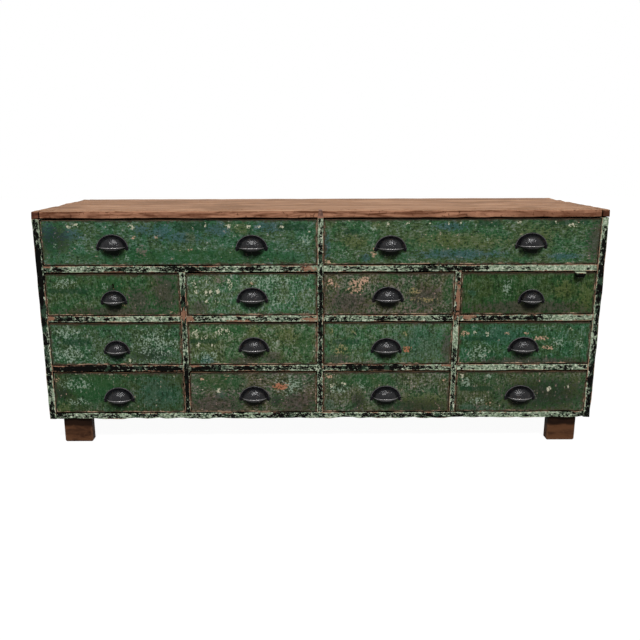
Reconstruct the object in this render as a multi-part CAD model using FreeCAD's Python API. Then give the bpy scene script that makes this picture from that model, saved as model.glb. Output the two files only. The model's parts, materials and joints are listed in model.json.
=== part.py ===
"""Painted bank of fourteen dovetailed drawers on four short feet.

Frame: +X to the right, +Y to the back, +Z up, millimetres. The origin is on the floor, under the
middle of the cabinet's overall box. Every drawer slides out along -Y.
"""
import FreeCAD, Part

import math
import os

# ---------------------------------------------------------------- driving dimensions, mm
cabinet_width = 1800.0
cabinet_depth = 550.0
foot_height = 84.0
foot_width = 98.0
foot_depth = 32.0
foot_inset = 42.0
foot_setback = 12.0
foot_corner_radius = 6.0
foot_tenon_width = 30.0
foot_tenon_depth = 14.0
foot_tenon_height = 10.0

top_thickness = 24.0
top_lipping_depth = 45.0
top_plank_count = 3
side_thickness = 24.0
divider_thickness = 20.0
back_thickness = 12.0
back_board_count = 10
back_rebate = 12.0
bottom_thickness = 23.0
bottom_plank_count = 2
plank_tongue = 8.0
board_tongue = 4.0

rail_height = 22.0
rail_depth = 62.0
tenon_length = 8.0
tenon_shoulder = 5.0
runner_width = 30.0
runner_housing = 5.0
top_row_opening = 148.0
second_row_opening = 140.0
third_row_opening = 144.0
fourth_row_opening = 143.0

front_thickness = 20.0
front_gap_above = 4.0
front_gap_below = 1.5
front_gap_side = 1.5
running_gap = 0.3
drawer_side_thickness = 12.0
drawer_back_thickness = 12.0
drawer_bottom_thickness = 8.0
drawer_bottom_lift = 8.0
drawer_bottom_groove = 5.0
side_drop = 6.0
back_drop = 10.0
back_housing = 4.0
tail_length = 13.0
tail_width = 27.0
tail_flare = 3.5
tails_per_corner = 3
stop_depth = 38.0
stop_width = 20.0
stop_height = 25.0

large_pull_width = 102.0
large_pull_height = 46.0
large_hood_width = 77.0
large_hood_height = 38.0
small_pull_width = 86.0
small_pull_height = 41.0
small_hood_width = 64.0
small_hood_height = 34.0
flange_thickness = 3.0
hood_projection = 26.0
hood_wall = 3.0
lip_height = 3.0
lip_proud = 1.5
ear_width = 11.0
ear_height = 14.0
ear_drop = 4.0
screw_head_radius = 3.5
screw_head_height = 2.0
screw_shank_radius = 1.8
screw_length = 15.0

keyhole_radius = 3.2
keyhole_slot_width = 3.6
keyhole_height = 16.0
keyhole_depth = 14.0
keyhole_rise = 17.5

block_width = 36.0
block_foot_width = 22.0
block_height = 19.0
block_projection = 19.0
block_slope = 6.0
block_inset = 53.0
block_clearance = 0.6

# ---------------------------------------------------------------- places worked out from them
EAST = FreeCAD.Vector(1, 0, 0)
NORTH = FreeCAD.Vector(0, 1, 0)
UP = FreeCAD.Vector(0, 0, 1)

pull_projection = hood_projection + lip_proud
front_y = (pull_projection - cabinet_depth) / 2
rear_y = front_y + cabinet_depth
back_board_y = rear_y - back_thickness
rail_back_y = front_y + rail_depth
tenon_front_y = front_y + tenon_shoulder
tenon_rear_y = rail_back_y - plank_tongue - tenon_shoulder
half_width = cabinet_width / 2
inner_half = half_width - side_thickness
quarter_x = inner_half / 2
body_base_z = foot_height

row_openings = [top_row_opening, second_row_opening, third_row_opening, fourth_row_opening]


def row_levels():
    """Floor and ceiling heights of each row's opening, top row first."""
    levels = []
    floor_z = body_base_z + bottom_thickness
    for opening in reversed(row_openings):
        levels.insert(0, (floor_z, floor_z + opening))
        floor_z += opening + rail_height
    return levels


rows = row_levels()
top_base_z = rows[0][1]
top_z = top_base_z + top_thickness

# Left and right limits of the four lower columns, and of the two long drawers above them.
column_edges = [
    (-inner_half, -quarter_x - divider_thickness / 2),
    (-quarter_x + divider_thickness / 2, -divider_thickness / 2),
    (divider_thickness / 2, quarter_x - divider_thickness / 2),
    (quarter_x + divider_thickness / 2, inner_half),
]
long_edges = [(-inner_half, -divider_thickness / 2), (divider_thickness / 2, inner_half)]
column_centres = [(left + right) / 2 for left, right in column_edges]


# ---------------------------------------------------------------- simple solids
def block(x0, x1, y0, y1, z0, z1):
    """A board or a cut between two opposite corners."""
    return Part.makeBox(x1 - x0, y1 - y0, z1 - z0, FreeCAD.Vector(x0, y0, z0))


def prism(points, along):
    """A flat outline of (x, y, z) corners pushed along a vector."""
    corners = [FreeCAD.Vector(*point) for point in points]
    outline = Part.makePolygon(corners + corners[:1])
    return Part.Face(outline).extrude(along)


def join(shapes):
    """One solid from pieces that share faces, without the seams between them."""
    return shapes[0].multiFuse(shapes[1:]).removeSplitter()


def cut(shape, tools):
    """A solid less a list of others."""
    return shape.cut(Part.makeCompound(tools)) if tools else shape


def save(name, shapes):
    """Write one named node as a group of separate solids."""
    solids = []
    for shape in shapes:
        solids.extend(shape.Solids)
    Part.makeCompound(solids).exportStep(os.path.join("parts", name + ".step"))


# ---------------------------------------------------------------- carcass: rails
def rail_tenon(x_shoulder, side, z0):
    """The stub tenon on one end of a rail; side is -1 for its left end, 1 for its right."""
    x_end = x_shoulder + side * tenon_length
    return block(
        min(x_shoulder, x_end),
        max(x_shoulder, x_end),
        tenon_front_y,
        tenon_rear_y,
        z0 + tenon_shoulder,
        z0 + rail_height - tenon_shoulder,
    )


def rail(x0, x1, z0):
    """A drawer rail between two uprights, tenoned into both."""
    board = block(x0, x1, front_y, rail_back_y, z0, z0 + rail_height)
    return join([board, rail_tenon(x0, -1, z0), rail_tenon(x1, 1, z0)])


rail_levels = [floor_z - rail_height for floor_z, _ in rows[:3]]
long_rails = [rail(x0, x1, rail_levels[0]) for x0, x1 in long_edges]
short_rails = [rail(x0, x1, z0) for z0 in rail_levels[1:] for x0, x1 in column_edges]


def bottom_rail_blank():
    """The wide front member under the bottom row, tenoned into both side panels."""
    board = block(-inner_half, inner_half, front_y, rail_back_y, body_base_z, rows[3][0])
    ends = []
    for side in (-1, 1):
        x_shoulder = side * inner_half
        x_end = x_shoulder + side * tenon_length
        ends.append(
            block(
                min(x_shoulder, x_end),
                max(x_shoulder, x_end),
                tenon_front_y,
                tenon_rear_y,
                body_base_z + tenon_shoulder,
                rows[3][0] - tenon_shoulder,
            )
        )
    return join([board] + ends)


# ---------------------------------------------------------------- carcass: runners and stops
def runner(x_face, side, z0):
    """A drawer runner let into an upright; side is the way it stands out of the upright."""
    x_root = x_face - side * runner_housing
    x_free = x_face + side * runner_width
    return block(min(x_root, x_free), max(x_root, x_free), rail_back_y, back_board_y, z0, z0 + rail_height)


runners = []
for x0, x1 in long_edges:
    runners.append(runner(x0, 1, rail_levels[0]))
    runners.append(runner(x1, -1, rail_levels[0]))
for z0 in rail_levels[1:]:
    for x0, x1 in column_edges:
        runners.append(runner(x0, 1, z0))
        runners.append(runner(x1, -1, z0))

# The bearers on top of the quarter dividers carry the middle of the long drawers.
bearer_half = divider_thickness / 2 + runner_width
for x_centre in (-quarter_x, quarter_x):
    runners.append(
        block(
            x_centre - bearer_half,
            x_centre + bearer_half,
            rail_back_y,
            back_board_y,
            rail_levels[0],
            rail_levels[0] + rail_height,
        )
    )

drawer_rear_y = back_board_y - stop_depth
stops = []
for (x0, x1), (floor_z, _) in [(edges, rows[0]) for edges in long_edges] + [
    (edges, row) for row in rows[1:] for edges in column_edges
]:
    for x_left in (x0, x1 - stop_width):
        stops.append(
            block(
                x_left,
                x_left + stop_width,
                drawer_rear_y + running_gap,
                back_board_y,
                floor_z,
                floor_z + stop_height,
            )
        )


# ---------------------------------------------------------------- carcass: uprights
def divider(x_centre, z_top, top_tenon_height):
    """An upright board between drawer columns, with a stub tenon at its front foot and head."""
    half = divider_thickness / 2
    board = block(x_centre - half, x_centre + half, front_y, back_board_y, rows[3][0], z_top)
    tenon_half = half - tenon_shoulder
    foot = block(
        x_centre - tenon_half,
        x_centre + tenon_half,
        tenon_front_y,
        tenon_rear_y,
        rows[3][0] - tenon_length,
        rows[3][0],
    )
    pieces = [board, foot]
    if top_tenon_height:
        pieces.append(
            block(
                x_centre - tenon_half,
                x_centre + tenon_half,
                tenon_front_y,
                tenon_rear_y,
                z_top,
                z_top + top_tenon_height,
            )
        )
    return join(pieces)


def head_wedge():
    """The centre divider's tapered head, seen as end grain in the front edge of the top."""
    half_base = divider_thickness / 2
    half_tip = divider_thickness / 4
    y0 = front_y
    return prism(
        [
            (-half_base, y0, top_base_z),
            (half_base, y0, top_base_z),
            (half_tip, y0, top_z),
            (-half_tip, y0, top_z),
        ],
        NORTH * (top_lipping_depth - plank_tongue),
    )


def side_panel(side):
    """One end of the cabinet, rebated at the back for the back boards."""
    x_outer = side * half_width
    x_inner = side * inner_half
    panel = block(
        min(x_outer, x_inner), max(x_outer, x_inner), front_y, rear_y, body_base_z, top_base_z
    )
    x_rebate = x_inner + side * back_rebate
    rebate = block(
        min(x_inner, x_rebate), max(x_inner, x_rebate), back_board_y, rear_y, body_base_z, top_base_z
    )
    return panel.cut(rebate)


bottom_rail = bottom_rail_blank()
bottom_plank_depth = (back_board_y - rail_back_y) / bottom_plank_count


def edge_tongue(x0, x1, y_edge, z_middle, size):
    """A tongue that stands forward of a plank's front edge."""
    return block(x0, x1, y_edge - size, y_edge, z_middle - size / 2, z_middle + size / 2)


def bottom_plank(index):
    """A lengthwise plank of the cabinet's floor, tongued to the one in front of it."""
    y0 = rail_back_y + index * bottom_plank_depth
    x1 = inner_half + runner_housing
    plank = block(-x1, x1, y0, y0 + bottom_plank_depth, body_base_z, rows[3][0])
    z_middle = body_base_z + bottom_thickness / 2
    plank = join([plank, edge_tongue(-inner_half, inner_half, y0, z_middle, plank_tongue)])
    if index < bottom_plank_count - 1:
        y1 = y0 + bottom_plank_depth
        plank = plank.cut(edge_tongue(-inner_half, inner_half, y1, z_middle, plank_tongue))
    return plank


bottom_planks = [bottom_plank(index) for index in range(bottom_plank_count)]
bottom_rail = bottom_rail.cut(bottom_planks[0])

quarter_dividers = [divider(x, rail_levels[0], tenon_length) for x in (-quarter_x, quarter_x)]
centre_divider = join([divider(0.0, top_base_z, 0.0), head_wedge()])

# Every rail, runner and plank that enters an upright cuts its own mortise or housing there.
let_in = long_rails + short_rails + runners + [bottom_rail] + bottom_planks
side_panel_left = cut(side_panel(-1), let_in)
side_panel_right = cut(side_panel(1), let_in)
centre_divider = cut(centre_divider, long_rails + short_rails + runners)
quarter_dividers = [cut(upright, short_rails + runners) for upright in quarter_dividers]
long_rails = [cut(member, quarter_dividers) for member in long_rails]
bottom_rail = cut(bottom_rail, [centre_divider] + quarter_dividers)

# ---------------------------------------------------------------- carcass: feet
foot_x0 = half_width - foot_inset - foot_width
foot_x1 = half_width - foot_inset


def foot(side, y0):
    """A foot sawn from thick board, with rounded lower edges and a stub tenon."""
    x0 = min(side * foot_x0, side * foot_x1)
    blank = block(x0, x0 + foot_width, y0, y0 + foot_depth, 0.0, foot_height)
    lower = []
    for edge in blank.Edges:
        low = edge.BoundBox.ZMax < 0.001
        runs_along_y = edge.BoundBox.YLength > foot_depth / 2 and edge.BoundBox.XLength < foot_depth / 2
        if low and runs_along_y:
            lower.append(edge)
    blank = blank.makeFillet(foot_corner_radius, lower)
    x_tenon = x0 + (foot_width - foot_tenon_width) / 2
    y_tenon = y0 + (foot_depth - foot_tenon_depth) / 2
    tenon = block(
        x_tenon,
        x_tenon + foot_tenon_width,
        y_tenon,
        y_tenon + foot_tenon_depth,
        foot_height,
        foot_height + foot_tenon_height,
    )
    return blank.fuse(tenon)


front_foot_y = front_y + foot_setback
rear_foot_y = back_board_y - foot_setback - foot_depth
feet = []
for side in (-1, 1):
    feet.append(foot(side, front_foot_y))
    feet.append(foot(side, rear_foot_y))
bottom_rail = cut(bottom_rail, feet)
bottom_planks = [cut(plank, feet) for plank in bottom_planks]

# ---------------------------------------------------------------- carcass: back
back_span = 2 * (inner_half + back_rebate)
back_board_width = back_span / back_board_count


def back_board(index):
    """An upright board of the back; each but the last has a tongue in its neighbour's groove."""
    x0 = index * back_board_width - back_span / 2
    board = block(x0, x0 + back_board_width, back_board_y, rear_y, body_base_z, top_base_z)
    y0 = back_board_y + (back_thickness - board_tongue) / 2

    def tongue(x_edge):
        return block(x_edge, x_edge + board_tongue, y0, y0 + board_tongue, body_base_z, top_base_z)

    if index > 0:
        board = board.cut(tongue(x0))
    if index < back_board_count - 1:
        board = join([board, tongue(x0 + back_board_width)])
    return board


back_boards = [back_board(index) for index in range(back_board_count)]

# ---------------------------------------------------------------- carcass: top
tongue_z = top_base_z + top_thickness / 2
plank_depth = (cabinet_depth - top_lipping_depth) / top_plank_count


def top_plank(index):
    """A lengthwise plank of the top, tongued forward and into the end lippings."""
    y0 = front_y + top_lipping_depth + index * plank_depth
    y1 = y0 + plank_depth
    board = block(-inner_half, inner_half, y0, y1, top_base_z, top_z)
    reach = inner_half + plank_tongue
    end_tongue = block(-reach, reach, y0, y1, tongue_z - plank_tongue / 2, tongue_z + plank_tongue / 2)
    board = join([board, end_tongue, edge_tongue(-inner_half, inner_half, y0, tongue_z, plank_tongue)])
    if index < top_plank_count - 1:
        board = board.cut(edge_tongue(-reach, reach, y1, tongue_z, plank_tongue))
        ends = [
            block(inner_half, reach, y1 - plank_tongue, y1, top_base_z, top_z),
            block(-reach, -inner_half, y1 - plank_tongue, y1, top_base_z, top_z),
        ]
        board = cut(board, ends)
    return board


top_planks = [top_plank(index) for index in range(top_plank_count)]
front_lipping = block(
    -inner_half, inner_half, front_y, front_y + top_lipping_depth, top_base_z, top_z
)
front_lipping = cut(front_lipping, [top_planks[0], centre_divider])
end_lippings = []
for side in (-1, 1):
    x_outer = side * half_width
    x_inner = side * inner_half
    strip = block(min(x_outer, x_inner), max(x_outer, x_inner), front_y, rear_y, top_base_z, top_z)
    end_lippings.append(cut(strip, top_planks))


# ---------------------------------------------------------------- drawers
class Drawer:
    """One drawer: its opening in the carcass and the faces that its pieces share."""

    def __init__(self, name, x_edges, row, pulls):
        self.name = name
        self.pulls = pulls
        self.x0 = x_edges[0] + front_gap_side
        self.x1 = x_edges[1] - front_gap_side
        self.front_z0 = row[0] + front_gap_below
        self.front_z1 = row[1] - front_gap_above
        self.side_z0 = row[0] + running_gap
        self.side_z1 = self.front_z1 - side_drop
        self.front_inner_y = front_y + front_thickness
        self.back_inner_y = drawer_rear_y - drawer_back_thickness
        self.bottom_z0 = self.side_z0 + drawer_bottom_lift
        self.bottom_z1 = self.bottom_z0 + drawer_bottom_thickness
        self.inner_x0 = self.x0 + drawer_side_thickness
        self.inner_x1 = self.x1 - drawer_side_thickness
        self.ceiling_z = row[1]
        self.middle_z = (row[0] + row[1]) / 2
        self.keyholes = []

    def bottom(self):
        """The drawer bottom, slid in from the back under the drawer back."""
        return block(
            self.inner_x0 - drawer_bottom_groove,
            self.inner_x1 + drawer_bottom_groove,
            self.front_inner_y - drawer_bottom_groove,
            drawer_rear_y,
            self.bottom_z0,
            self.bottom_z1,
        )

    def tails(self, x0):
        """The half-blind dovetails on the front end of one side board, flared at their tips."""
        pitch = (self.side_z1 - self.bottom_z1) / tails_per_corner
        y_tip = self.front_inner_y - tail_length
        half_tip = tail_width / 2
        half_root = half_tip - tail_flare
        solids = []
        for index in range(tails_per_corner):
            z_middle = self.bottom_z1 + pitch * (index + 0.5)
            corners = [
                (x0, self.front_inner_y, z_middle - half_root),
                (x0, self.front_inner_y, z_middle + half_root),
                (x0, y_tip, z_middle + half_tip),
                (x0, y_tip, z_middle - half_tip),
            ]
            solids.append(prism(corners, EAST * drawer_side_thickness))
        return solids

    def back(self):
        """The back board, housed in both sides and standing on the bottom."""
        return block(
            self.inner_x0 - back_housing,
            self.inner_x1 + back_housing,
            self.back_inner_y,
            drawer_rear_y - running_gap,
            self.bottom_z1,
            self.side_z1 - back_drop,
        )

    def sides(self):
        """Both side boards, with their tails, the groove for the bottom and the back's housing."""
        boards = []
        for x0 in (self.x0, self.inner_x1):
            board = block(
                x0,
                x0 + drawer_side_thickness,
                self.front_inner_y,
                drawer_rear_y,
                self.side_z0,
                self.side_z1,
            )
            board = join([board] + self.tails(x0))
            boards.append(cut(board, [self.bottom(), self.back()]))
        return boards

    def front(self, side_boards, screws):
        """The painted front: sockets for the tails, a stopped groove and the pull's screw holes."""
        board = block(self.x0, self.x1, front_y, self.front_inner_y, self.front_z0, self.front_z1)
        board = cut(board, side_boards + [self.bottom()] + screws)
        return cut(board, self.keyholes)


def keyhole(drawer):
    """The slot and round eye of a keyhole above the pull, without a lock behind it."""
    pull = drawer.pulls[0]
    x = pull.x
    eye_z = drawer.middle_z + pull.rise + pull.height / 2 + keyhole_rise
    slot_z0 = eye_z + keyhole_radius - keyhole_height
    eye = Part.makeCylinder(keyhole_radius, keyhole_depth, FreeCAD.Vector(x, front_y, eye_z), NORTH)
    slot = block(
        x - keyhole_slot_width / 2,
        x + keyhole_slot_width / 2,
        front_y,
        front_y + keyhole_depth,
        slot_z0,
        eye_z,
    )
    return eye.fuse(slot)


# ---------------------------------------------------------------- drawers: cup pulls
hood_segments = 8
hood_angles = [0.0, 25.0, 50.0, 72.0]
screw_flats = 6


def half_ellipse(half_width_x, depth_y, z):
    """Corners of a half ellipse that bulges forward of the drawer face at height z."""
    points = []
    for step in range(hood_segments + 1):
        angle = math.pi * step / hood_segments
        points.append((half_width_x * math.cos(angle), -depth_y * math.sin(angle), z))
    return points


def faceted(rings):
    """A closed solid of flat facets through a stack of matching rings of corners."""

    def facet(points):
        corners = [FreeCAD.Vector(*point) for point in points]
        return Part.Face(Part.makePolygon(corners + corners[:1]))

    faces = [facet(rings[0]), facet(rings[-1])]
    for lower, upper in zip(rings, rings[1:]):
        for index in range(len(lower)):
            after = (index + 1) % len(lower)
            faces.append(facet([lower[index], lower[after], upper[after], upper[index]]))
    shell = Part.Shell(faces)
    shell.sewShape()
    solid = Part.Solid(shell)
    if solid.Volume < 0:
        solid.reverse()
    return solid


def dome(half_width_x, depth_y, height):
    """A quarter ellipsoid standing on its half-elliptical mouth."""
    rings = []
    for degrees in hood_angles:
        angle = math.radians(degrees)
        scale = math.cos(angle)
        rings.append(half_ellipse(half_width_x * scale, depth_y * scale, height * math.sin(angle)))
    return faceted(rings)


def screw(x, z, y_seat):
    """A round-headed screw, its head on y_seat and its tapered shank into the wood."""

    def ring(radius, y):
        points = []
        for step in range(screw_flats):
            angle = 2 * math.pi * (step + 0.5) / screw_flats
            points.append((x + radius * math.cos(angle), y, z + radius * math.sin(angle)))
        return points

    head = faceted(
        [ring(screw_head_radius, y_seat), ring(screw_head_radius / 2, y_seat - screw_head_height)]
    )
    shank = faceted(
        [ring(screw_shank_radius, y_seat), ring(screw_shank_radius / 2, y_seat + screw_length)]
    )
    return head.fuse(shank)


class CupPull:
    """A cast cup pull: flange, hood, rolled lip and two ears, with a screw through each ear."""

    def __init__(self, width, height, hood_width, hood_height):
        self.width = width
        self.height = height
        self.hood_half = hood_width / 2
        self.hood_height = hood_height
        self.screws = self.make_screws()
        self.casting = cut(self.make_casting(), self.screws)

    def flange(self):
        """The half-elliptical plate that lies against the drawer."""
        points = [(x, 0.0, -y) for x, y, _ in half_ellipse(self.width / 2, self.height, 0.0)]
        return prism(points, NORTH * -flange_thickness)

    def make_casting(self):
        """The casting about the middle of its mouth, on the drawer face."""
        hood = dome(self.hood_half, hood_projection, self.hood_height)
        lip_points = half_ellipse(self.hood_half + lip_proud, hood_projection + lip_proud, 0.0)
        lip = prism(lip_points, UP * lip_height)
        ears = []
        for side in (-1, 1):
            x_middle = side * (self.width - ear_width) / 2
            x0 = x_middle - ear_width / 2
            ears.append(
                block(x0, x0 + ear_width, -flange_thickness, 0.0, -ear_drop, ear_height - ear_drop)
            )
        hollow = dome(self.hood_half - hood_wall, hood_projection - hood_wall, self.hood_height - hood_wall)
        return join([self.flange(), hood, lip] + ears).cut(hollow).removeSplitter()

    def make_screws(self):
        """One screw in the middle of each ear."""
        x_ear = (self.width - ear_width) / 2
        z_ear = ear_height / 2 - ear_drop
        return [screw(side * x_ear, z_ear, -flange_thickness) for side in (-1, 1)]


large_pull = CupPull(large_pull_width, large_pull_height, large_hood_width, large_hood_height)
small_pull = CupPull(small_pull_width, small_pull_height, small_hood_width, small_hood_height)


class PlacedPull:
    """A hand-fixed pull: how far it sits from the middle of its column and of its row."""

    def __init__(self, column, shift, rise, pattern):
        self.x = column_centres[column] + shift
        self.rise = rise
        self.height = pattern.height
        self.pattern = pattern

    def pieces(self, middle_z):
        """The casting and its screws on a drawer whose middle is at the height given."""
        move = FreeCAD.Vector(self.x, front_y, middle_z + self.rise - self.height / 2)
        casting = self.pattern.casting.translated(move)
        return casting, [piece.translated(move) for piece in self.pattern.screws]


# ---------------------------------------------------------------- drawers: the fourteen of them
def long_drawer(name, side, pulls):
    """A drawer of the top row."""
    return Drawer(name, long_edges[side], rows[0], pulls)


def short_drawer(name, column, row, shift, rise, pattern=large_pull):
    """A drawer of the lower rows, with one pull."""
    return Drawer(name, column_edges[column], rows[row], [PlacedPull(column, shift, rise, pattern)])


drawers = [
    long_drawer(
        "drawer_1a", 0, [PlacedPull(0, 9.0, 3.0, large_pull), PlacedPull(1, 3.0, 0.0, large_pull)]
    ),
    long_drawer(
        "drawer_1b", 1, [PlacedPull(2, 1.0, -3.0, large_pull), PlacedPull(3, -1.0, 4.0, large_pull)]
    ),
    short_drawer("drawer_2a", 0, 1, 3.0, -7.0, small_pull),
    short_drawer("drawer_2b", 1, 1, 2.0, -1.0),
    short_drawer("drawer_2c", 2, 1, -3.0, 0.0),
    short_drawer("drawer_2d", 3, 1, 12.0, -8.0, small_pull),
    short_drawer("drawer_3a", 0, 2, 2.0, -8.0, small_pull),
    short_drawer("drawer_3b", 1, 2, 4.0, -1.0),
    short_drawer("drawer_3c", 2, 2, -4.0, -5.0),
    short_drawer("drawer_3d", 3, 2, -2.0, -3.0),
    short_drawer("drawer_4a", 0, 3, -1.0, -5.0),
    short_drawer("drawer_4b", 1, 3, 3.0, -2.0),
    short_drawer("drawer_4c", 2, 3, -2.0, -2.0),
    short_drawer("drawer_4d", 3, 3, -2.0, -2.0),
]
keyhole_drawer = drawers[2]
block_drawer = drawers[5]
keyhole_drawer.keyholes = [keyhole(keyhole_drawer)]


def finger_block(drawer):
    """The small tapered block glued to the top edge of one drawer front."""
    x_middle = drawer.x1 - block_inset
    z_top = drawer.ceiling_z - block_clearance
    z_waist = z_top - block_height / 3
    half_top = block_width / 2
    half_foot = block_foot_width / 2
    body = prism(
        [
            (x_middle - half_top, front_y, z_top),
            (x_middle + half_top, front_y, z_top),
            (x_middle + half_top, front_y, z_waist),
            (x_middle + half_foot, front_y, z_top - block_height),
            (x_middle - half_foot, front_y, z_top - block_height),
            (x_middle - half_top, front_y, z_waist),
        ],
        NORTH * -block_projection,
    )
    slope = prism(
        [
            (x_middle - half_top, front_y, z_top),
            (x_middle - half_top, front_y - block_projection, z_top),
            (x_middle - half_top, front_y - block_projection, z_top - block_slope),
        ],
        EAST * block_width,
    )
    return body.cut(slope)


# ---------------------------------------------------------------- write the nodes
os.makedirs("parts", exist_ok=True)

save("side_panel_left", [side_panel_left])
save("side_panel_right", [side_panel_right])
save("centre_divider", [centre_divider])
save("quarter_divider_left", [quarter_dividers[0]])
save("quarter_divider_right", [quarter_dividers[1]])
save("long_rails", long_rails)
save("short_rails", short_rails)
save("bottom_rail", [bottom_rail])
save("bottom_planks", bottom_planks)
save("drawer_runners", runners)
save("drawer_stops", stops)
save("back_boards", back_boards)
save("feet", feet)
save("top_planks", top_planks)
save("top_front_lipping", [front_lipping])
save("top_end_lippings", end_lippings)

for drawer in drawers:
    castings = []
    screws = []
    for pull in drawer.pulls:
        casting, pull_screws = pull.pieces(drawer.middle_z)
        castings.append(casting)
        screws.extend(pull_screws)
    side_boards = drawer.sides()
    save(drawer.name + "_front", [drawer.front(side_boards, screws)])
    save(drawer.name + "_box", side_boards + [drawer.back(), drawer.bottom()])
    save(drawer.name + ("_pulls" if len(drawer.pulls) > 1 else "_pull"), castings + screws)

save("finger_block", [finger_block(block_drawer)])
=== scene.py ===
"""Low painted bank of fourteen drawers, dressed for the eye: worn boards, flaked paint and cast cup pulls.

Metres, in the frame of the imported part: +X right, +Y back, +Z up, drawers sliding out along -Y.
"""
import json
import math
import random

import bmesh
import bpy
from mathutils import Matrix, Vector, noise

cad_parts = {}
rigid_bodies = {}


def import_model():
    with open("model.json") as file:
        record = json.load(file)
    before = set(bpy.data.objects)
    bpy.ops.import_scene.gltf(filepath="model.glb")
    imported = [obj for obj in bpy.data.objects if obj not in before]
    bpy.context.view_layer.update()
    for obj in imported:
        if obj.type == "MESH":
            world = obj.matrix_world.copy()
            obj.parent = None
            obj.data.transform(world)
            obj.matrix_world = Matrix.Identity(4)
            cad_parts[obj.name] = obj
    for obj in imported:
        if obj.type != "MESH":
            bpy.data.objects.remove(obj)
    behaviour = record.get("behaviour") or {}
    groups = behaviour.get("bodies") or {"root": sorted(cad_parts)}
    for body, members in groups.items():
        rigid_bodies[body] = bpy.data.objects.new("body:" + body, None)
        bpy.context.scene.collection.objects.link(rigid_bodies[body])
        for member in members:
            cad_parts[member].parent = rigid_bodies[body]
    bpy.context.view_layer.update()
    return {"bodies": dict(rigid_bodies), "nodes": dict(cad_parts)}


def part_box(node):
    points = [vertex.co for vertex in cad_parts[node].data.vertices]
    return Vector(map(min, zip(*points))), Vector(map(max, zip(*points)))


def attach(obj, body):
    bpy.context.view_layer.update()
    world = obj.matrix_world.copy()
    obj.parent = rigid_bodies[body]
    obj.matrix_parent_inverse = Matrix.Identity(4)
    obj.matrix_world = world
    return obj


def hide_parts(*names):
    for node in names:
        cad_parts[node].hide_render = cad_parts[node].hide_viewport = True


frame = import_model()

cad_nodes = frame["nodes"]

# ==== Studio: a white cove on which the cabinet stands, under one broad soft light from above and in front.
# The camera stands before the middle of the top row, looking a little down on it.
camera_place = Vector((-0.063, -2.43625, 0.949))
camera_pitch = math.radians(-13.61)
camera_roll = math.radians(-0.2)
white = (1.0, 1.0, 1.0, 1.0)
sky_strength = 0.22
floor_half = 12.0
cove_for_light = (0.28, 0.28, 0.28, 1.0)
cove_for_eye = (0.93, 0.93, 0.93, 1.0)
floor_glow = 1.04
floor_whitened = 0.92
key_strength = 3.9
key_spread = math.radians(12.0)
key_turn = (math.radians(37.0), 0.0, math.radians(4.0))


def new_piece(name, data):
    """An object at the origin, in the scene."""
    piece = bpy.data.objects.new(name, data)
    bpy.context.scene.collection.objects.link(piece)
    return piece


camera_data = bpy.data.cameras.new("camera")
camera_data.lens = 39.12
camera_data.sensor_width = 36.0
camera_data.shift_x = 0.0303
camera = new_piece("camera", camera_data)
turn = Matrix.Rotation(math.radians(90.0) + camera_pitch, 4, "X") @ Matrix.Rotation(camera_roll, 4, "Z")
camera.matrix_world = Matrix.Translation(camera_place) @ turn
bpy.context.scene.camera = camera
bpy.context.scene.view_settings.view_transform = "Standard"


class Wire:
    """One output of a node, which adds, subtracts, multiplies and divides like a number or a vector."""

    def __init__(self, socket):
        self.socket = socket

    def __add__(self, other):
        return reckon("ADD", self, other)

    def __sub__(self, other):
        return reckon("SUBTRACT", self, other)

    def __rsub__(self, other):
        return reckon("SUBTRACT", other, self)

    def __mul__(self, other):
        return reckon("MULTIPLY", self, other)

    def __truediv__(self, other):
        return reckon("DIVIDE", self, other)


class Outputs:
    """The outputs of a node as wires, by name or number."""

    def __init__(self, sockets):
        self.sockets = sockets

    def __getitem__(self, key):
        return Wire(self.sockets[key])


def feed(socket, value):
    """Link a socket to a wire, or set the socket's own value."""
    if isinstance(value, Wire):
        value.socket.id_data.links.new(value.socket, socket)
    else:
        socket.default_value = value


def new_node(tree, kind, inputs=None, **settings):
    """The outputs of a new node with its settings and its inputs, by socket name or number."""
    made = tree.nodes.new(kind)
    for setting, value in settings.items():
        setattr(made, setting, value)
    for socket, value in (inputs or {}).items():
        feed(made.inputs[socket], value)
    return Outputs(made.outputs)


def tree_of(*values):
    """The tree that the wires among some values belong to."""
    return next(value.socket.id_data for value in values if isinstance(value, Wire))


def reckon(operation, *values):
    """A number worked out from others, or a vector where one of them is a vector."""
    kinds = [value.socket.type if isinstance(value, Wire) else type(value) for value in values]
    kind = "ShaderNodeVectorMath" if "VECTOR" in kinds or Vector in kinds else "ShaderNodeMath"
    return new_node(tree_of(*values), kind, dict(enumerate(values)), operation=operation)[0]


def lay(mask, under, over, mode="MIX"):
    """One colour laid over another by a mask."""
    inputs = {0: mask, 6: under, 7: over}
    return new_node(tree_of(mask, under, over), "ShaderNodeMix", inputs, data_type="RGBA", blend_type=mode)[2]


class Finish:
    """A material being wired up to its Principled shader."""

    def __init__(self, name):
        self.material = bpy.data.materials.new(name)
        self.material.use_nodes = True
        self.tree = self.material.node_tree
        self.surface = self.tree.nodes["Principled BSDF"].inputs

    def wear(self, colour, roughness, gloss=None, height=None, strength=0.5, depth=0.0006):
        """Feed the shader its colour, roughness and specular level, and a bump from a height."""
        feed(self.surface["Base Color"], colour)
        feed(self.surface["Roughness"], roughness)
        if gloss is not None:
            self.surface["Specular IOR Level"].default_value = gloss
        if height is not None:
            inputs = {"Strength": strength, "Distance": depth, "Height": height}
            self.bump = new_node(self.tree, "ShaderNodeBump", inputs)[0]
            feed(self.surface["Normal"], self.bump)
        return self.material


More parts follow.
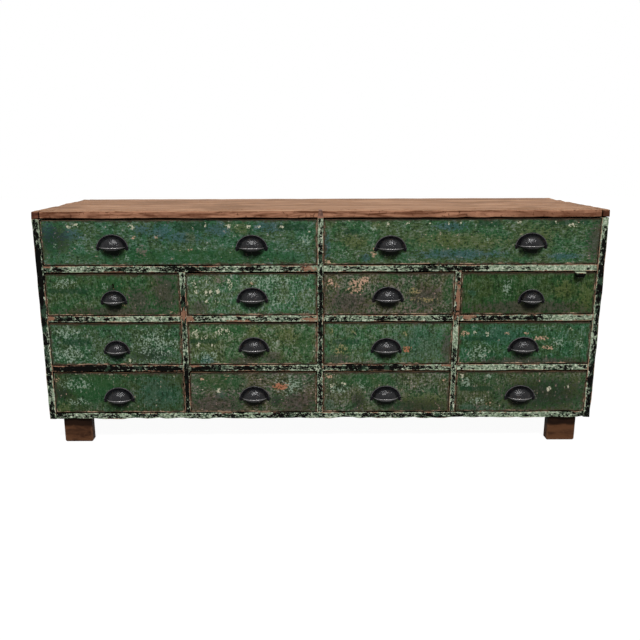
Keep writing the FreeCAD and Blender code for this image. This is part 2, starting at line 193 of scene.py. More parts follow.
def seen_directly(tree):
    """1 for rays from the eye and for what gloss and glass show, 0 for rays that only carry light."""
    rays = new_node(tree, "ShaderNodeLightPath")
    seen = reckon("MAXIMUM", rays["Is Camera Ray"], rays["Is Glossy Ray"])
    return reckon("MAXIMUM", seen, rays["Is Transmission Ray"])


world = bpy.data.worlds.new("studio")
world.use_nodes = True
bpy.context.scene.world = world
background = world.node_tree.nodes["Background"].inputs
feed(background["Strength"], seen_directly(world.node_tree) * (1.0 - sky_strength) + sky_strength)
background["Color"].default_value = white

floor_mesh = bpy.data.meshes.new("floor")
floor_corners = [(x * floor_half, y * floor_half, 0.0) for x, y in ((-1, -1), (1, -1), (1, 1), (-1, 1))]
floor_mesh.from_pydata(floor_corners, [], [(0, 1, 2, 3)])
floor = new_piece("floor", floor_mesh)
cove = Finish("white cove")
seen = seen_directly(cove.tree)
cove.wear(lay(seen, cove_for_light, cove_for_eye), 0.9, 0.1)
painted = Wire(cove.tree.nodes["Principled BSDF"].outputs[0])
glow = new_node(cove.tree, "ShaderNodeEmission", {"Color": white, "Strength": floor_glow})[0]
whitened = new_node(cove.tree, "ShaderNodeMixShader", {0: seen * floor_whitened, 1: painted, 2: glow})[0]
feed(cove.tree.nodes["Material Output"].inputs["Surface"], whitened)
floor_mesh.materials.append(cove.material)

lamp = bpy.data.lights.new("key", "SUN")
lamp.energy = key_strength
lamp.angle = key_spread
new_piece("key", lamp).rotation_euler = key_turn

# ==== Side panels: one wide board at each end, 24 mm thick, rebated at the back for the back boards.
# Pine, painted green outside and on the front edge; there the paint has flaked down to a black
# undercoat, and the arrises are rubbed through to the wood.
side_arris = 0.0018
side_slice = 0.03
side_rub = 0.0016
bury = 0.0015
# How many broad and small worn places lie along a metre of an arris, or nearly so.
broad_wear = 22.0
small_wear = 90.0
square_corner = 0.5
flat_face = 0.995


def worn_board(low, high, arris, slice_length, rub, seed):
    """Corners, faces and smooth flags of a board with rounded arrises, unevenly rubbed away."""
    build = bmesh.new()
    size = high - low
    middle = (low + high) / 2
    near = arris * 1.01
    bmesh.ops.create_cube(build, size=1.0, matrix=Matrix.Translation(middle) @ Matrix.Diagonal((*size, 1.0)))
    for axis in range(3):
        count = int(size[axis] / slice_length)
        normal = Vector([float(other == axis) for other in range(3)])
        for index in range(1, count):
            cut_at = Vector(low)
            cut_at[axis] += size[axis] * index / count
            everything = list(build.verts) + list(build.edges) + list(build.faces)
            bmesh.ops.bisect_plane(build, geom=everything, plane_co=cut_at, plane_no=normal)
    corners = [edge for edge in build.edges if edge.calc_face_angle(0.0) > square_corner]
    bmesh.ops.bevel(build, geom=corners, offset=arris, segments=2, profile=0.5, affect="EDGES")
    for vertex in build.verts:
        to_faces = [min(vertex.co[axis] - low[axis], high[axis] - vertex.co[axis]) for axis in range(3)]
        if sorted(to_faces)[1] > near:
            continue
        worn = 0.5 + noise.noise(vertex.co * broad_wear + Vector((seed, 0.0, 0.0)))
        worn += 0.5 * noise.noise(vertex.co * small_wear + Vector((0.0, seed, 0.0)))
        inward = Vector([math.copysign(1.0, middle[axis] - vertex.co[axis]) for axis in range(3)])
        for axis in range(3):
            if to_faces[axis] > near:
                inward[axis] = 0.0
        vertex.co += inward * max(0.0, worn) * rub
    build.normal_update()
    points = [vertex.co.copy() for vertex in build.verts]
    build.verts.index_update()
    faces = [[vertex.index for vertex in face.verts] for face in build.faces]
    rounded = [max(abs(value) for value in face.normal) < flat_face for face in build.faces]
    build.free()
    return points, faces, rounded


def stamp_corners(mesh, corners):
    """Write on each vertex the low and high corner of the board that it belongs to."""
    for name, which in (("board_low", 0), ("board_high", 1)):
        layer = mesh.attributes.new(name, "FLOAT_VECTOR", "POINT")
        for index, board in enumerate(corners):
            layer.data[index].vector = board[which]


def timber(name, boards, arris, slice_length, rub, material):
    """One piece made of boards, each a pair of corners."""
    points, faces, rounded, corners = [], [], [], []
    for seed, (low, high) in enumerate(boards):
        low, high = Vector(low), Vector(high)
        first = len(points)
        board_points, board_faces, board_rounded = worn_board(low, high, arris, slice_length, rub, 7.3 * seed)
        points += board_points
        faces += [[first + index for index in face] for face in board_faces]
        rounded += board_rounded
        corners += [(low, high)] * len(board_points)
    mesh = bpy.data.meshes.new(name)
    mesh.from_pydata(points, [], faces)
    mesh.polygons.foreach_set("use_smooth", rounded)
    stamp_corners(mesh, corners)
    mesh.materials.append(material)
    return new_piece(name, mesh)


def as_mesh(piece):
    """Turn a piece's modifiers into plain mesh."""
    depsgraph = bpy.context.evaluated_depsgraph_get()
    mesh = bpy.data.meshes.new_from_object(piece.evaluated_get(depsgraph))
    piece.modifiers.clear()
    piece.data = mesh


def mesh_of(build, name):
    """The mesh that a build holds; the build is freed."""
    mesh = bpy.data.meshes.new(name)
    build.to_mesh(mesh)
    build.free()
    return mesh


def cut_away(piece, waste):
    """Cut the waste mesh out of a board, and throw the waste away."""
    cutter = new_piece("waste", waste)
    modifier = piece.modifiers.new("cut", "BOOLEAN")
    modifier.operation = "DIFFERENCE"
    modifier.solver = "EXACT"
    modifier.object = cutter
    corners = [piece.data.attributes[name].data[0].vector.copy() for name in ("board_low", "board_high")]
    as_mesh(piece)
    bpy.data.objects.remove(cutter)
    for name in ("board_low", "board_high"):
        piece.data.attributes.remove(piece.data.attributes[name])
    stamp_corners(piece.data, [corners] * len(piece.data.vertices))


def step(value, low, high, start=0.0, end=1.0):
    """A smooth step of a value from start, at low, to end, at high."""
    inputs = dict(enumerate((value, low, high, start, end)))
    return new_node(tree_of(value), "ShaderNodeMapRange", inputs, interpolation_type="SMOOTHSTEP")[0]


def cloudy(point, scale, detail, roughness, distortion=0.0):
    """Cloudy noise between 0 and 1."""
    inputs = {"Vector": point, "Scale": scale, "Detail": detail, "Roughness": roughness}
    return new_node(tree_of(point), "ShaderNodeTexNoise", {**inputs, "Distortion": distortion})[0]


def place(tree):
    """The point on the cabinet, in metres."""
    return new_node(tree, "ShaderNodeTexCoord")["Object"]


def attribute(tree, name):
    """What the mesh holds under a name."""
    return new_node(tree, "ShaderNodeAttribute", attribute_name=name)


def facing(tree):
    """The way that the surface faces."""
    return new_node(tree, "ShaderNodeNewGeometry")["True Normal"]


def apart(vector):
    """The three parts of a vector."""
    return new_node(tree_of(vector), "ShaderNodeSeparateXYZ", {0: vector})


class Group:
    """A shader group with named inputs, each with a default that sets its kind."""

    def __init__(self, name, **defaults):
        self.tree = bpy.data.node_groups.new(name, "ShaderNodeTree")
        for socket, default in defaults.items():
            kind = {float: "Float", tuple: "Color", Vector: "Vector"}[type(default)]
            made = self.tree.interface.new_socket(socket, in_out="INPUT", socket_type="NodeSocket" + kind)
            made.default_value = default
        self.given = Outputs(self.tree.nodes.new("NodeGroupInput").outputs)

    def give(self, **results):
        """Make the group's outputs, each under its result's name."""
        for name, wire in results.items():
            kind = {"VALUE": "Float", "RGBA": "Color", "VECTOR": "Vector"}[wire.socket.type]
            self.tree.interface.new_socket(name, in_out="OUTPUT", socket_type="NodeSocket" + kind)
        sockets = self.tree.nodes.new("NodeGroupOutput").inputs
        for name, wire in results.items():
            feed(sockets[name], wire)

    def use(self, tree, **inputs):
        """The outputs of the group placed in another tree with its values."""
        return new_node(tree, "ShaderNodeGroup", inputs, node_tree=self.tree)


# Distance from the nearest arris of the board that a point lies on, and from its front, foot and head.
arris_distance = Group("arris distance")
point = place(arris_distance.tree)
above_low = point - attribute(arris_distance.tree, "board_low")["Vector"]
below_high = attribute(arris_distance.tree, "board_high")["Vector"] - point
by_x, by_y, by_z = apart(reckon("MINIMUM", above_low, below_high))
smaller = reckon("MINIMUM", by_x, by_y)
larger = reckon("MAXIMUM", by_x, by_y)
_, from_front, from_foot = apart(above_low)
arris_distance.give(
    Distance=reckon("MAXIMUM", smaller, reckon("MINIMUM", larger, by_z)),
    Front=from_front,
    Foot=from_foot,
    Head=apart(below_high)["Z"],
    Level=step(reckon("ABSOLUTE", apart(facing(arris_distance.tree))["Z"]), 0.72, 0.95),
)

# Old paint in flakes: a mask that is 1 where the top coat has held.
flaked_paint = Group("flaked paint", Stretch=Vector((1.0, 1.0, 1.0)), Cover=0.5, Flake=150.0)
given = flaked_paint.given
point = place(flaked_paint.tree) * given["Stretch"]
level = cloudy(point, given["Flake"], 4.0, 0.70, 0.3) * 1.60 + cloudy(point, 14.0, 3.0, 0.6) * 0.50
level = level + cloudy(point, 420.0, 2.0, 0.6) * 0.80 + given["Cover"]
flaked_paint.give(Held=step(level, 1.41, 1.49))

# A soft-edged patch on the front of the cabinet, ragged with noise.
front_patch = Group("front patch", X=0.0, Z=0.0, Width=0.1, Height=0.05, Soft=0.6, Ragged=0.6, Grain=60.0)
given = front_patch.given
point = place(front_patch.tree)
across, _, up = apart(point)
across = (across - given["X"]) / given["Width"]
up = (up - given["Z"]) / given["Height"]
spread = reckon("SQRT", across * across + up * up) * 2.0
spread = (cloudy(point, given["Grain"], 3.0, 0.6) - 0.5) * given["Ragged"] + spread
front_patch.give(Mask=step(spread, 1.0 - given["Soft"], 1.0, 1.0, 0.0))

# Sawn wood: pale and dark lines along the board, and slow bands across it.
wood_grain = Group("wood grain", Stretch=Vector((1.0, 12.0, 12.0)), Lines=40.0, Bands=3.0)
given = wood_grain.given
point = place(wood_grain.tree) * given["Stretch"]
wood_grain.give(
    Bands=cloudy(point, given["Bands"], 2.0, 0.5, 1.2),
    Lines=cloudy(point, given["Lines"], 3.0, 0.6, 0.5),
    Pores=cloudy(point, 160.0, 2.0, 0.6),
)

mint = (0.300, 0.372, 0.262, 1.0)
mint_dull = (0.115, 0.160, 0.100, 1.0)
mint_chalk = (0.580, 0.600, 0.480, 1.0)
undercoat = (0.0035, 0.0035, 0.0030, 1.0)
frame_green = (0.022, 0.044, 0.026, 1.0)
bare_wood = (0.330, 0.185, 0.120, 1.0)
rubbed_wood = (0.250, 0.125, 0.078, 1.0)
raw_wood_pale = (0.300, 0.190, 0.105, 1.0)
raw_wood_dark = (0.135, 0.077, 0.040, 1.0)


def raw_wood(tree, stretch):
    """The colour of bare old pine, and its grain."""
    grain = wood_grain.use(tree, Stretch=stretch, Lines=9.0, Bands=1.6)
    tone = step(grain["Bands"] * 0.5 + grain["Lines"] * 0.5, 0.36, 0.62)
    return lay(tone, raw_wood_dark, raw_wood_pale), grain


def frame_paint(name, stretch, covers, marks, painted_depth, bare_marks=(), level_faces=undercoat):
    """Pale green paint flaking off a black undercoat; covers say how well it has held everywhere, along
    the arrises and on broad faces; marks are (x, z, width, height, more cover), and bare marks are
    (x, z, width, height) of places rubbed through to the wood."""
    finish = Finish(name)
    point = place(finish.tree)
    edge = arris_distance.use(finish.tree)
    cover, edge_cover, broad_cover = covers
    bias = step(edge["Distance"], 0.002, 0.007, edge_cover, 0.0) + cover
    bias = step(edge["Distance"], 0.012, 0.026, 0.0, broad_cover) + bias
    for x, z, width, height, more in marks:
        patch = front_patch.use(finish.tree, X=x, Z=z, Width=width, Height=height, Soft=0.5, Ragged=0.7)
        bias = patch["Mask"] * more + bias
    bias = bias + (cloudy(point, 14.0, 3.0, 0.6) - 0.5) * 0.7
    held = flaked_paint.use(finish.tree, Stretch=stretch, Cover=bias, Flake=135.0)["Held"]
    tint = cloudy(point, 130.0, 3.0, 0.7)
    top_coat = lay(step(tint, 0.38, 0.56), mint_dull, mint)
    top_coat = lay(step(tint, 0.54, 0.66), top_coat, mint_chalk)
    below = lay(step(cloudy(point, 30.0, 2.0, 0.6), 0.54, 0.66), undercoat, frame_green)
    painted = lay(held, below, top_coat)
    rubbed = cloudy(point, 120.0, 3.0, 0.7) * -0.0085 + edge["Distance"]
    handled = step(cloudy(point, 11.0, 2.0, 0.6), 0.44, 0.58, 0.0, -0.0018)
    painted = lay(step(rubbed + handled, -0.0040, -0.0026, 0.8, 0.0), painted, bare_wood)
    for x, z, width, height in bare_marks:
        ragged = {"Soft": 0.4, "Ragged": 3.0, "Grain": 95.0}
        patch = front_patch.use(finish.tree, X=x, Z=z, Width=width, Height=height, **ragged)
        painted = lay(patch["Mask"] * 0.85, painted, rubbed_wood)
    # Painted shade: level faces, the tops and undersides in the gaps, take the level colour, black undercoat
    # unless another is given.
    painted = lay(edge["Level"], painted, level_faces)
    wood, grain = raw_wood(finish.tree, stretch)
    painted = lay(step(edge["Front"], painted_depth, painted_depth + 0.004), painted, wood)
    height = held + grain["Pores"] * 0.6
    return finish.wear(painted, step(held, 0.0, 1.0, 0.80, 0.55), 0.02, height, 0.6, 0.0006)


side_covers = (-0.14, 0.14, 0.48)
side_painted = 0.9
upright_stretch = Vector((1.0, 1.0, 0.5))
# Where the paint of each upright, by its x, has held better or worse: z, height, and by how much.
stretch_width = 0.05
upright_stretches = {
    -0.888: ((0.700, 0.14, 0.02), (0.480, 0.40, -0.12), (0.150, 0.16, 0.02)),
    -0.438: ((0.560, 0.06, 0.12), (0.470, 0.10, -0.08), (0.360, 0.10, 0.04), (0.180, 0.14, -0.14)),
    0.000: (
        (0.715, 0.12, 0.07), (0.615, 0.07, -0.10), (0.440, 0.24, -0.10), (0.270, 0.12, 0.00),
        (0.160, 0.10, -0.04),
    ),
    0.438: ((0.560, 0.08, 0.04), (0.370, 0.12, 0.16), (0.190, 0.18, 0.12)),
    0.888: ((0.720, 0.08, 0.16), (0.580, 0.20, -0.14), (0.380, 0.14, 0.08), (0.180, 0.20, 0.02)),
}
# The outer uprights differ again between their outer and inner halves: x, width and by how much.
halves_middle = 0.420
halves_height = 0.90
halves = ((-0.896, 0.022, -0.08), (-0.880, 0.012, 0.10), (0.896, 0.022, -0.14), (0.880, 0.012, 0.08))
upright_marks = []
for x, stretches in upright_stretches.items():
    upright_marks += [(x, z, stretch_width, height, more) for z, height, more in stretches]
upright_marks += [(x, halves_middle, width, halves_height, more) for x, width, more in halves]
upright_paint = frame_paint("upright paint", upright_stretch, side_covers, upright_marks, side_painted)
back_low, back_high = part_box("back_boards")
for node in ("side_panel_left", "side_panel_right"):
    low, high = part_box(node)
    panel = timber("painted_" + node, [(low, high)], side_arris, side_slice, side_rub, upright_paint)
    rebate = bmesh.new()
    rebate_low = Vector((back_low.x, back_low.y, low.z - bury))
    rebate_high = Vector((back_high.x, high.y + bury, high.z + bury))
    rebate_place = Matrix.Translation((rebate_low + rebate_high) / 2)
    rebate_place = rebate_place @ Matrix.Diagonal((*(rebate_high - rebate_low), 1.0))
    bmesh.ops.create_cube(rebate, size=1.0, matrix=rebate_place)
    cut_away(panel, mesh_of(rebate, "rebate"))
    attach(panel, "carcass")
    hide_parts(node)

# ==== Dividers: three upright boards 20 mm thick between the drawer columns, tenoned at foot and head.
# They wear the same paint as the sides on their front edges, and are bare inside the cabinet.
divider_arris = 0.0015
divider_rub = 0.0014
divider_painted = 0.006
divider_covers = (-0.135, 0.16, 0.0)
divider_bare_marks = [(0.440, 0.500, 0.016, 0.13), (-0.440, 0.440, 0.016, 0.05), (0.0, 0.090, 0.024, 0.04)]
divider_paint = frame_paint(
    "divider paint", upright_stretch, divider_covers, upright_marks, divider_painted, divider_bare_marks
)
long_low, long_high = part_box("long_rails")
bottom_low, bottom_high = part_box("bottom_rail")
top_low, top_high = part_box("top_planks")
divider_heads = {
    "quarter_divider_left": long_low.z,
    "centre_divider": top_low.z,
    "quarter_divider_right": long_low.z,
}
for node, head in divider_heads.items():
    low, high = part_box(node)
    board = ((low.x, low.y, bottom_high.z - bury), (high.x, high.y, head + bury))
    upright = timber("painted_" + node, [board], divider_arris, side_slice, divider_rub, divider_paint)
    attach(upright, "carcass")
    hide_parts(node)

# ==== Rails: pine drawer rails 22 mm high, tenoned between the uprights, and a like member under all.
# Their paint has gone most where the drawers rub: nearly to the undercoat low on the left.
rail_arris = 0.0014
rail_slice = 0.02
rail_rub = 0.0016
sill_rub = 0.0034
rail_painted = 0.008
# Where the paint of the rails has held better or worse, by the z and height of each band: x, width and
# by how much.
rail_stretches = {
    (0.589, 0.05): (
        (-0.84, 0.12, -0.12), (-0.66, 0.36, -0.01), (-0.42, 0.14, -0.14), (-0.29, 0.10, 0.06),
        (-0.06, 0.16, -0.12), (0.17, 0.30, 0.15), (0.42, 0.14, -0.12), (0.68, 0.44, 0.22),
    ),
    (0.427, 0.05): (
        (-0.82, 0.14, -0.10), (-0.62, 0.30, 0.04), (-0.30, 0.26, 0.04), (-0.10, 0.18, -0.02),
        (0.10, 0.16, 0.16), (0.34, 0.16, 0.10), (0.59, 0.22, -0.02), (0.80, 0.20, 0.21),
    ),
    (0.261, 0.05): (
        (-0.66, 0.56, -0.17), (-0.24, 0.40, -0.06), (0.19, 0.34, -0.19), (0.38, 0.10, 0.06),
        (0.66, 0.44, 0.09),
    ),
    (0.095, 0.06): ((-0.50, 0.80, 0.02), (0.20, 0.30, 0.03), (0.66, 0.44, 0.11)),
}
rail_marks = []
for (z, height), stretches in rail_stretches.items():
    rail_marks += [(x, z, width, height, more) for x, width, more in stretches]
# Where the rails are rubbed through to the wood: x, z, width and height.
rail_bare_marks = [
    (-0.870, 0.597, 0.05, 0.008), (-0.640, 0.580, 0.05, 0.006), (-0.360, 0.598, 0.08, 0.007),
    (-0.040, 0.588, 0.05, 0.018), (-0.868, 0.430, 0.04, 0.016), (-0.425, 0.427, 0.04, 0.022),
    (-0.270, 0.420, 0.08, 0.007), (-0.030, 0.424, 0.07, 0.016), (-0.850, 0.270, 0.06, 0.006),
    (-0.410, 0.268, 0.05, 0.008), (0.480, 0.430, 0.04, 0.018), (0.420, 0.268, 0.05, 0.010),
]
rail_covers = (-0.066, 0.14, 0.0)
rail_paint = frame_paint(
    "rail paint", Vector((0.5, 1.0, 1.0)), rail_covers, rail_marks, rail_painted, rail_bare_marks
)
rail_height = long_high.z - long_low.z
short_low, short_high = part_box("short_rails")
uprights = [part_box(name) for name in ("side_panel_left", *divider_heads, "side_panel_right")]
columns = [(left[1].x, right[0].x) for left, right in zip(uprights, uprights[1:])]
long_columns = [(columns[0][0], columns[1][1]), (columns[2][0], columns[3][1])]


def rail_boards(spans, floor_z, height):
    """The pairs of corners of the rails at one level, let a little way into the uprights."""
    low_y, high_y = long_low.y, long_high.y
    return [((x0 - bury, low_y, floor_z), (x1 + bury, high_y, floor_z + height)) for x0, x1 in spans]


lower_rails = rail_boards(columns, short_low.z, rail_height)
upper_rails = rail_boards(columns, short_high.z - rail_height, rail_height)
sill = rail_boards([(columns[0][0], columns[3][1])], bottom_low.z, bottom_high.z - bottom_low.z)
rails = {
    "long_rails": (rail_boards(long_columns, long_low.z, rail_height), rail_rub),
    "short_rails": (lower_rails + upper_rails, rail_rub),
    "bottom_rail": (sill, sill_rub),
}
for node, (boards, rub) in rails.items():
    members = timber("painted_" + node, boards, rail_arris, rail_slice, rub, rail_paint)
    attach(members, "carcass")
    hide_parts(node)

# ==== Floor, runners and stops: sawn pine inside the cabinet, never painted, dusty and darkened by use.
# The drawers slide on the runners; the stops at the back bring the fronts flush.


def bare_pine(name, stretch, shade):
    """Bare pine, darkened evenly by a share between 0 and 1."""
    finish = Finish(name)
    wood, grain = raw_wood(finish.tree, stretch)
    dust = cloudy(place(finish.tree), 12.0, 3.0, 0.6)
    wood = lay(step(dust, 0.45, 0.7, 0.0, 0.22), wood, raw_wood_dark)
    wood = lay(shade, wood, (0.035, 0.024, 0.015, 1.0))
    return finish.wear(wood, 0.78, None, grain["Pores"], 0.5, 0.0005)


def finish_node(node, material):
    """Give a carried-over node its finish."""
    slots = cad_nodes[node].data.materials
    slots.clear()
    slots.append(material)


inner_pine = bare_pine("inner pine", Vector((12.0, 1.0, 12.0)), 0.35)
floor_pine = bare_pine("floor pine", Vector((1.0, 12.0, 12.0)), 0.35)
finish_node("drawer_runners", inner_pine)
finish_node("drawer_stops", inner_pine)
finish_node("bottom_planks", floor_pine)

# ==== Back: ten upright tongued and grooved pine boards, 12 mm thick, chamfered where they meet.
# Left bare and gone brown; nailed to the floor and to every upright.
back_count = 10
back_chamfer = 0.002
back_rub = 0.0004
nail_proud = 0.0003
nail_radius = 0.0032
nail_flatness = 0.25
nail_pitch = 0.11
nail_set_in = 0.006
nail_stray = (0.003, 0.012)
floor_nail_stray = 0.006
floor_nail_rise = (0.008, 0.015)
finish = Finish("back pine")
wood, grain = raw_wood(finish.tree, Vector((10.0, 12.0, 0.8)))
wood = lay(attribute(finish.tree, "board_tone")["Fac"] * 0.4, wood, (0.060, 0.036, 0.021, 1.0))
knot_place = place(finish.tree) * Vector((14.0, 1.0, 6.0))
knot = new_node(finish.tree, "ShaderNodeTexVoronoi", {"Vector": knot_place, "Scale": 0.9})["Distance"]
wood = lay(step(knot, 0.04, 0.12, 0.85, 0.0), wood, (0.040, 0.020, 0.010, 1.0))
back_pine = finish.wear(wood, 0.75, None, grain["Pores"], 0.6, 0.0006)


def new_tree(name, inputs):
    """A Geometry Nodes tree and its inputs, which map a socket's name to its kind and default."""
    tree = bpy.data.node_groups.new(name, "GeometryNodeTree")
    tree.interface.new_socket("Geometry", in_out="INPUT", socket_type="NodeSocketGeometry")
    for socket, (kind, default) in inputs.items():
        made = tree.interface.new_socket(socket, in_out="INPUT", socket_type="NodeSocket" + kind)
        if default is not None:
            made.default_value = default
    tree.interface.new_socket("Geometry", in_out="OUTPUT", socket_type="NodeSocketGeometry")
    return tree, Outputs(tree.nodes.new("NodeGroupInput").outputs)


def end_tree(tree, given, geometry):
    """The end of a tree: its instances made real and given their finish."""
    real = new_node(tree, "GeometryNodeRealizeInstances", {"Geometry": geometry})[0]
    finished = new_node(tree, "GeometryNodeSetMaterial", {"Geometry": real, "Material": given["Finish"]})[0]
    feed(tree.nodes.new("NodeGroupOutput").inputs["Geometry"], finished)


def joined(tree, inputs):
    """A vector made of up to three parts, by number."""
    return new_node(tree, "ShaderNodeCombineXYZ", inputs)[0]


def grow(name, tree, values, places=()):
    """A piece grown by a tree on some places, as plain mesh."""
    mesh = bpy.data.meshes.new(name)
    mesh.from_pydata(places, [], [])
    piece = new_piece(name, mesh)
    modifier = piece.modifiers.new("grow", "NODES")
    modifier.node_group = tree
    sockets = {item.name: item.identifier for item in tree.interface.items_tree if item.in_out == "INPUT"}
    for socket, value in values.items():
        modifier[sockets[socket]] = value
    as_mesh(piece)
    return piece


# A row of like boards, each with its own tone between 0 and 1.
board_row, given = new_tree("board row", {
    "Board": ("Object", None),
    "Count": ("Int", 2),
    "Pitch": ("Float", 0.1),
    "Seed": ("Int", 1),
    "Finish": ("Material", None),
})
line_inputs = {"Count": given["Count"], "Offset": joined(board_row, {0: given["Pitch"]})}
line = new_node(board_row, "GeometryNodeMeshLine", line_inputs, mode="OFFSET")[0]
board = new_node(board_row, "GeometryNodeObjectInfo", {"Object": given["Board"]})["Geometry"]
placed = new_node(board_row, "GeometryNodeInstanceOnPoints", {"Points": line, "Instance": board})[0]
tones = new_node(board_row, "FunctionNodeRandomValue", {"Seed": given["Seed"]}, data_type="FLOAT")[1]
tone_inputs = {"Geometry": placed, "Name": "board_tone", "Value": tones}
toned = new_node(
    board_row, "GeometryNodeStoreNamedAttribute", tone_inputs, data_type="FLOAT", domain="INSTANCE"
)[0]
end_tree(board_row, given, toned)

back_width = (back_high.x - back_low.x) / back_count
first_corners = [(back_low, (back_low.x + back_width, back_high.y - nail_proud, back_high.z))]
first_board = timber("first_back_board", first_corners, back_chamfer, side_slice, back_rub, back_pine)
row_values = {"Board": first_board, "Count": back_count, "Pitch": back_width, "Seed": 5, "Finish": back_pine}
back = grow("pine_back_boards", board_row, row_values)
bpy.data.objects.remove(first_board)
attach(back, "carcass")
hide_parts("back_boards")

# Nail heads: round, slightly domed, along the uprights behind the boards and along the floor.
nail_head, given = new_tree("nail heads", {"Radius": ("Float", nail_radius), "Finish": ("Material", None)})
ball_inputs = {"Segments": 10, "Rings": 6, "Radius": given["Radius"]}
ball = new_node(nail_head, "GeometryNodeMeshUVSphere", ball_inputs)[0]
flattened = joined(nail_head, {0: 1.0, 1: nail_flatness, 2: 1.0})
placed_inputs = {"Points": given["Geometry"], "Instance": ball, "Scale": flattened}
end_tree(nail_head, given, new_node(nail_head, "GeometryNodeInstanceOnPoints", placed_inputs)[0])

finish = Finish("rusty iron")
rust = step(cloudy(place(finish.tree), 300.0, 3.0, 0.6), 0.42, 0.6)
rusty_iron = finish.wear(lay(rust, (0.012, 0.011, 0.010, 1.0), (0.040, 0.025, 0.017, 1.0)), 0.6)
nail_rows = [(low.x + high.x) / 2 for low, high in uprights]
nail_rows[0] += nail_set_in
nail_rows[-1] -= nail_set_in
draw = random.Random(11)
nail_y = back_high.y - nail_radius * nail_flatness
nail_places = []
for x in nail_rows:
    z = back_low.z + nail_pitch / 2
    while z < back_high.z - nail_pitch / 3:
        stray_x, stray_z = [draw.uniform(-most, most) for most in nail_stray]
        nail_places.append((x + stray_x, nail_y, z + stray_z))
        z += nail_pitch
for index in range(2 * back_count):
    x = back_low.x + back_width * (index / 2 + 0.25) + draw.uniform(-floor_nail_stray, floor_nail_stray)
    nail_places.append((x, nail_y, bottom_low.z + draw.uniform(*floor_nail_rise)))
nails = grow("back_nails", nail_head, {"Radius": nail_radius, "Finish": rusty_iron}, nail_places)
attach(nails, "carcass")

# ==== Top: three pine planks lengthwise, a redder lipping along the front and one across each end.
# Scrubbed and waxed, so pale on top; the lippings show a stained face and, at the corners, end grain.
top_arris = 0.0020
top_slice = 0.03
top_rub = 0.0022
plank_count = 3
plank_arris = 0.0012
plank_rub = 0.0006
lipping_middle = 0.757
pale_pine = (0.392, 0.231, 0.143, 1.0)
tan_pine = (0.300, 0.167, 0.098, 1.0)
brown_pine = (0.165, 0.088, 0.048, 1.0)
# Where the face of the lipping is stained darkest: x, width and how far.
lipping_stains = (
    (0.30, 0.16, 0.5), (0.72, 0.44, 0.62), (0.87, 0.16, 0.7), (-0.38, 0.10, 0.6), (-0.70, 0.08, 0.5),
)


def top_finish(name, stretch, face_colours):
    """Waxed pine streaked along the boards, stained on upright faces: dark, pale and the spots' colour."""
    finish = Finish(name)
    point = place(finish.tree)
    edge = arris_distance.use(finish.tree)
    grain = wood_grain.use(finish.tree, Stretch=stretch, Lines=16.0, Bands=2.8)
    tone = grain["Bands"] * 0.45 + grain["Lines"] * 0.55
    wood = lay(step(tone, 0.40, 0.50), brown_pine, tan_pine)
    wood = lay(step(tone, 0.49, 0.60), wood, pale_pine)
    cloud = cloudy(point, 5.0, 3.0, 0.6)
    wood = lay(step(cloud, 0.50, 0.64) * 0.5, wood, brown_pine)
    knot_place = point * Vector((3.1, 5.6, 0.0)) + (cloud - 0.5) * 0.6
    knot = new_node(finish.tree, "ShaderNodeTexVoronoi", {"Vector": knot_place, "Scale": 1.0})["Distance"]
    wood = lay(step(knot, 0.05, 0.17, 0.65, 0.0), wood, brown_pine)
    upright = step(apart(facing(finish.tree))["Z"], 0.3, 0.75, 1.0, 0.0)
    face_tone = cloudy(point * stretch, 11.0, 4.0, 0.68, 0.6)
    face_dark, face_pale, face_spots = face_colours
    face = lay(step(face_tone, 0.37, 0.59), face_dark, face_pale)
    face = lay(step(cloudy(point, 80.0, 3.0, 0.7), 0.58, 0.65, 0.0, 0.8), face, face_spots)
    for x, width, strength in lipping_stains:
        extent = {"X": x, "Z": lipping_middle, "Width": width, "Height": 0.03}
        stain = front_patch.use(finish.tree, Soft=0.7, Ragged=1.4, Grain=40.0, **extent)
        face = lay(stain["Mask"] * strength, face, face_dark)
    wood = lay(upright, wood, face)
    rubbed = cloudy(point, 70.0, 3.0, 0.7) * -0.010 + edge["Distance"]
    rubbed = step(rubbed, -0.0042, -0.0022, 0.75, 0.0) * (upright * -0.55 + 1.0)
    wood = lay(rubbed, wood, pale_pine)
    height = grain["Pores"] * 0.5 + grain["Lines"]
    return finish.wear(wood, step(grain["Lines"], 0.3, 0.7, 0.46, 0.62), 0.008, height, 0.45, 0.0005)


red_faces = ((0.105, 0.040, 0.021, 1.0), (0.362, 0.178, 0.107, 1.0), (0.070, 0.026, 0.014, 1.0))
dark_ends = ((0.060, 0.022, 0.013, 1.0), (0.130, 0.050, 0.030, 1.0), (0.032, 0.013, 0.008, 1.0))
plank_finish = top_finish("top planks", Vector((0.7, 8.0, 8.0)), red_faces)
end_finish = top_finish("top end lippings", Vector((8.0, 0.9, 8.0)), dark_ends)
lipping_low, lipping_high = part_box("top_front_lipping")
ends_low, ends_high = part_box("top_end_lippings")
plank_depth = (ends_high.y - lipping_high.y) / plank_count
plank_boards = []
for index in range(plank_count):
    y0 = lipping_high.y + index * plank_depth
    plank_boards.append(((lipping_low.x, y0, top_low.z), (lipping_high.x, y0 + plank_depth, top_high.z)))
planks = timber("waxed_top_planks", plank_boards, plank_arris, top_slice, plank_rub, plank_finish)
front_lipping = timber(
    "stained_front_lipping", [(lipping_low, lipping_high)], top_arris, top_slice, top_rub, plank_finish
)
end_boards = [
    ((ends_low.x, ends_low.y, ends_low.z), (lipping_low.x, ends_high.y, ends_high.z)),
    ((lipping_high.x, ends_low.y, ends_low.z), (ends_high.x, ends_high.y, ends_high.z)),
]
end_lippings = timber("stained_end_lippings", end_boards, top_arris, top_slice, top_rub, end_finish)
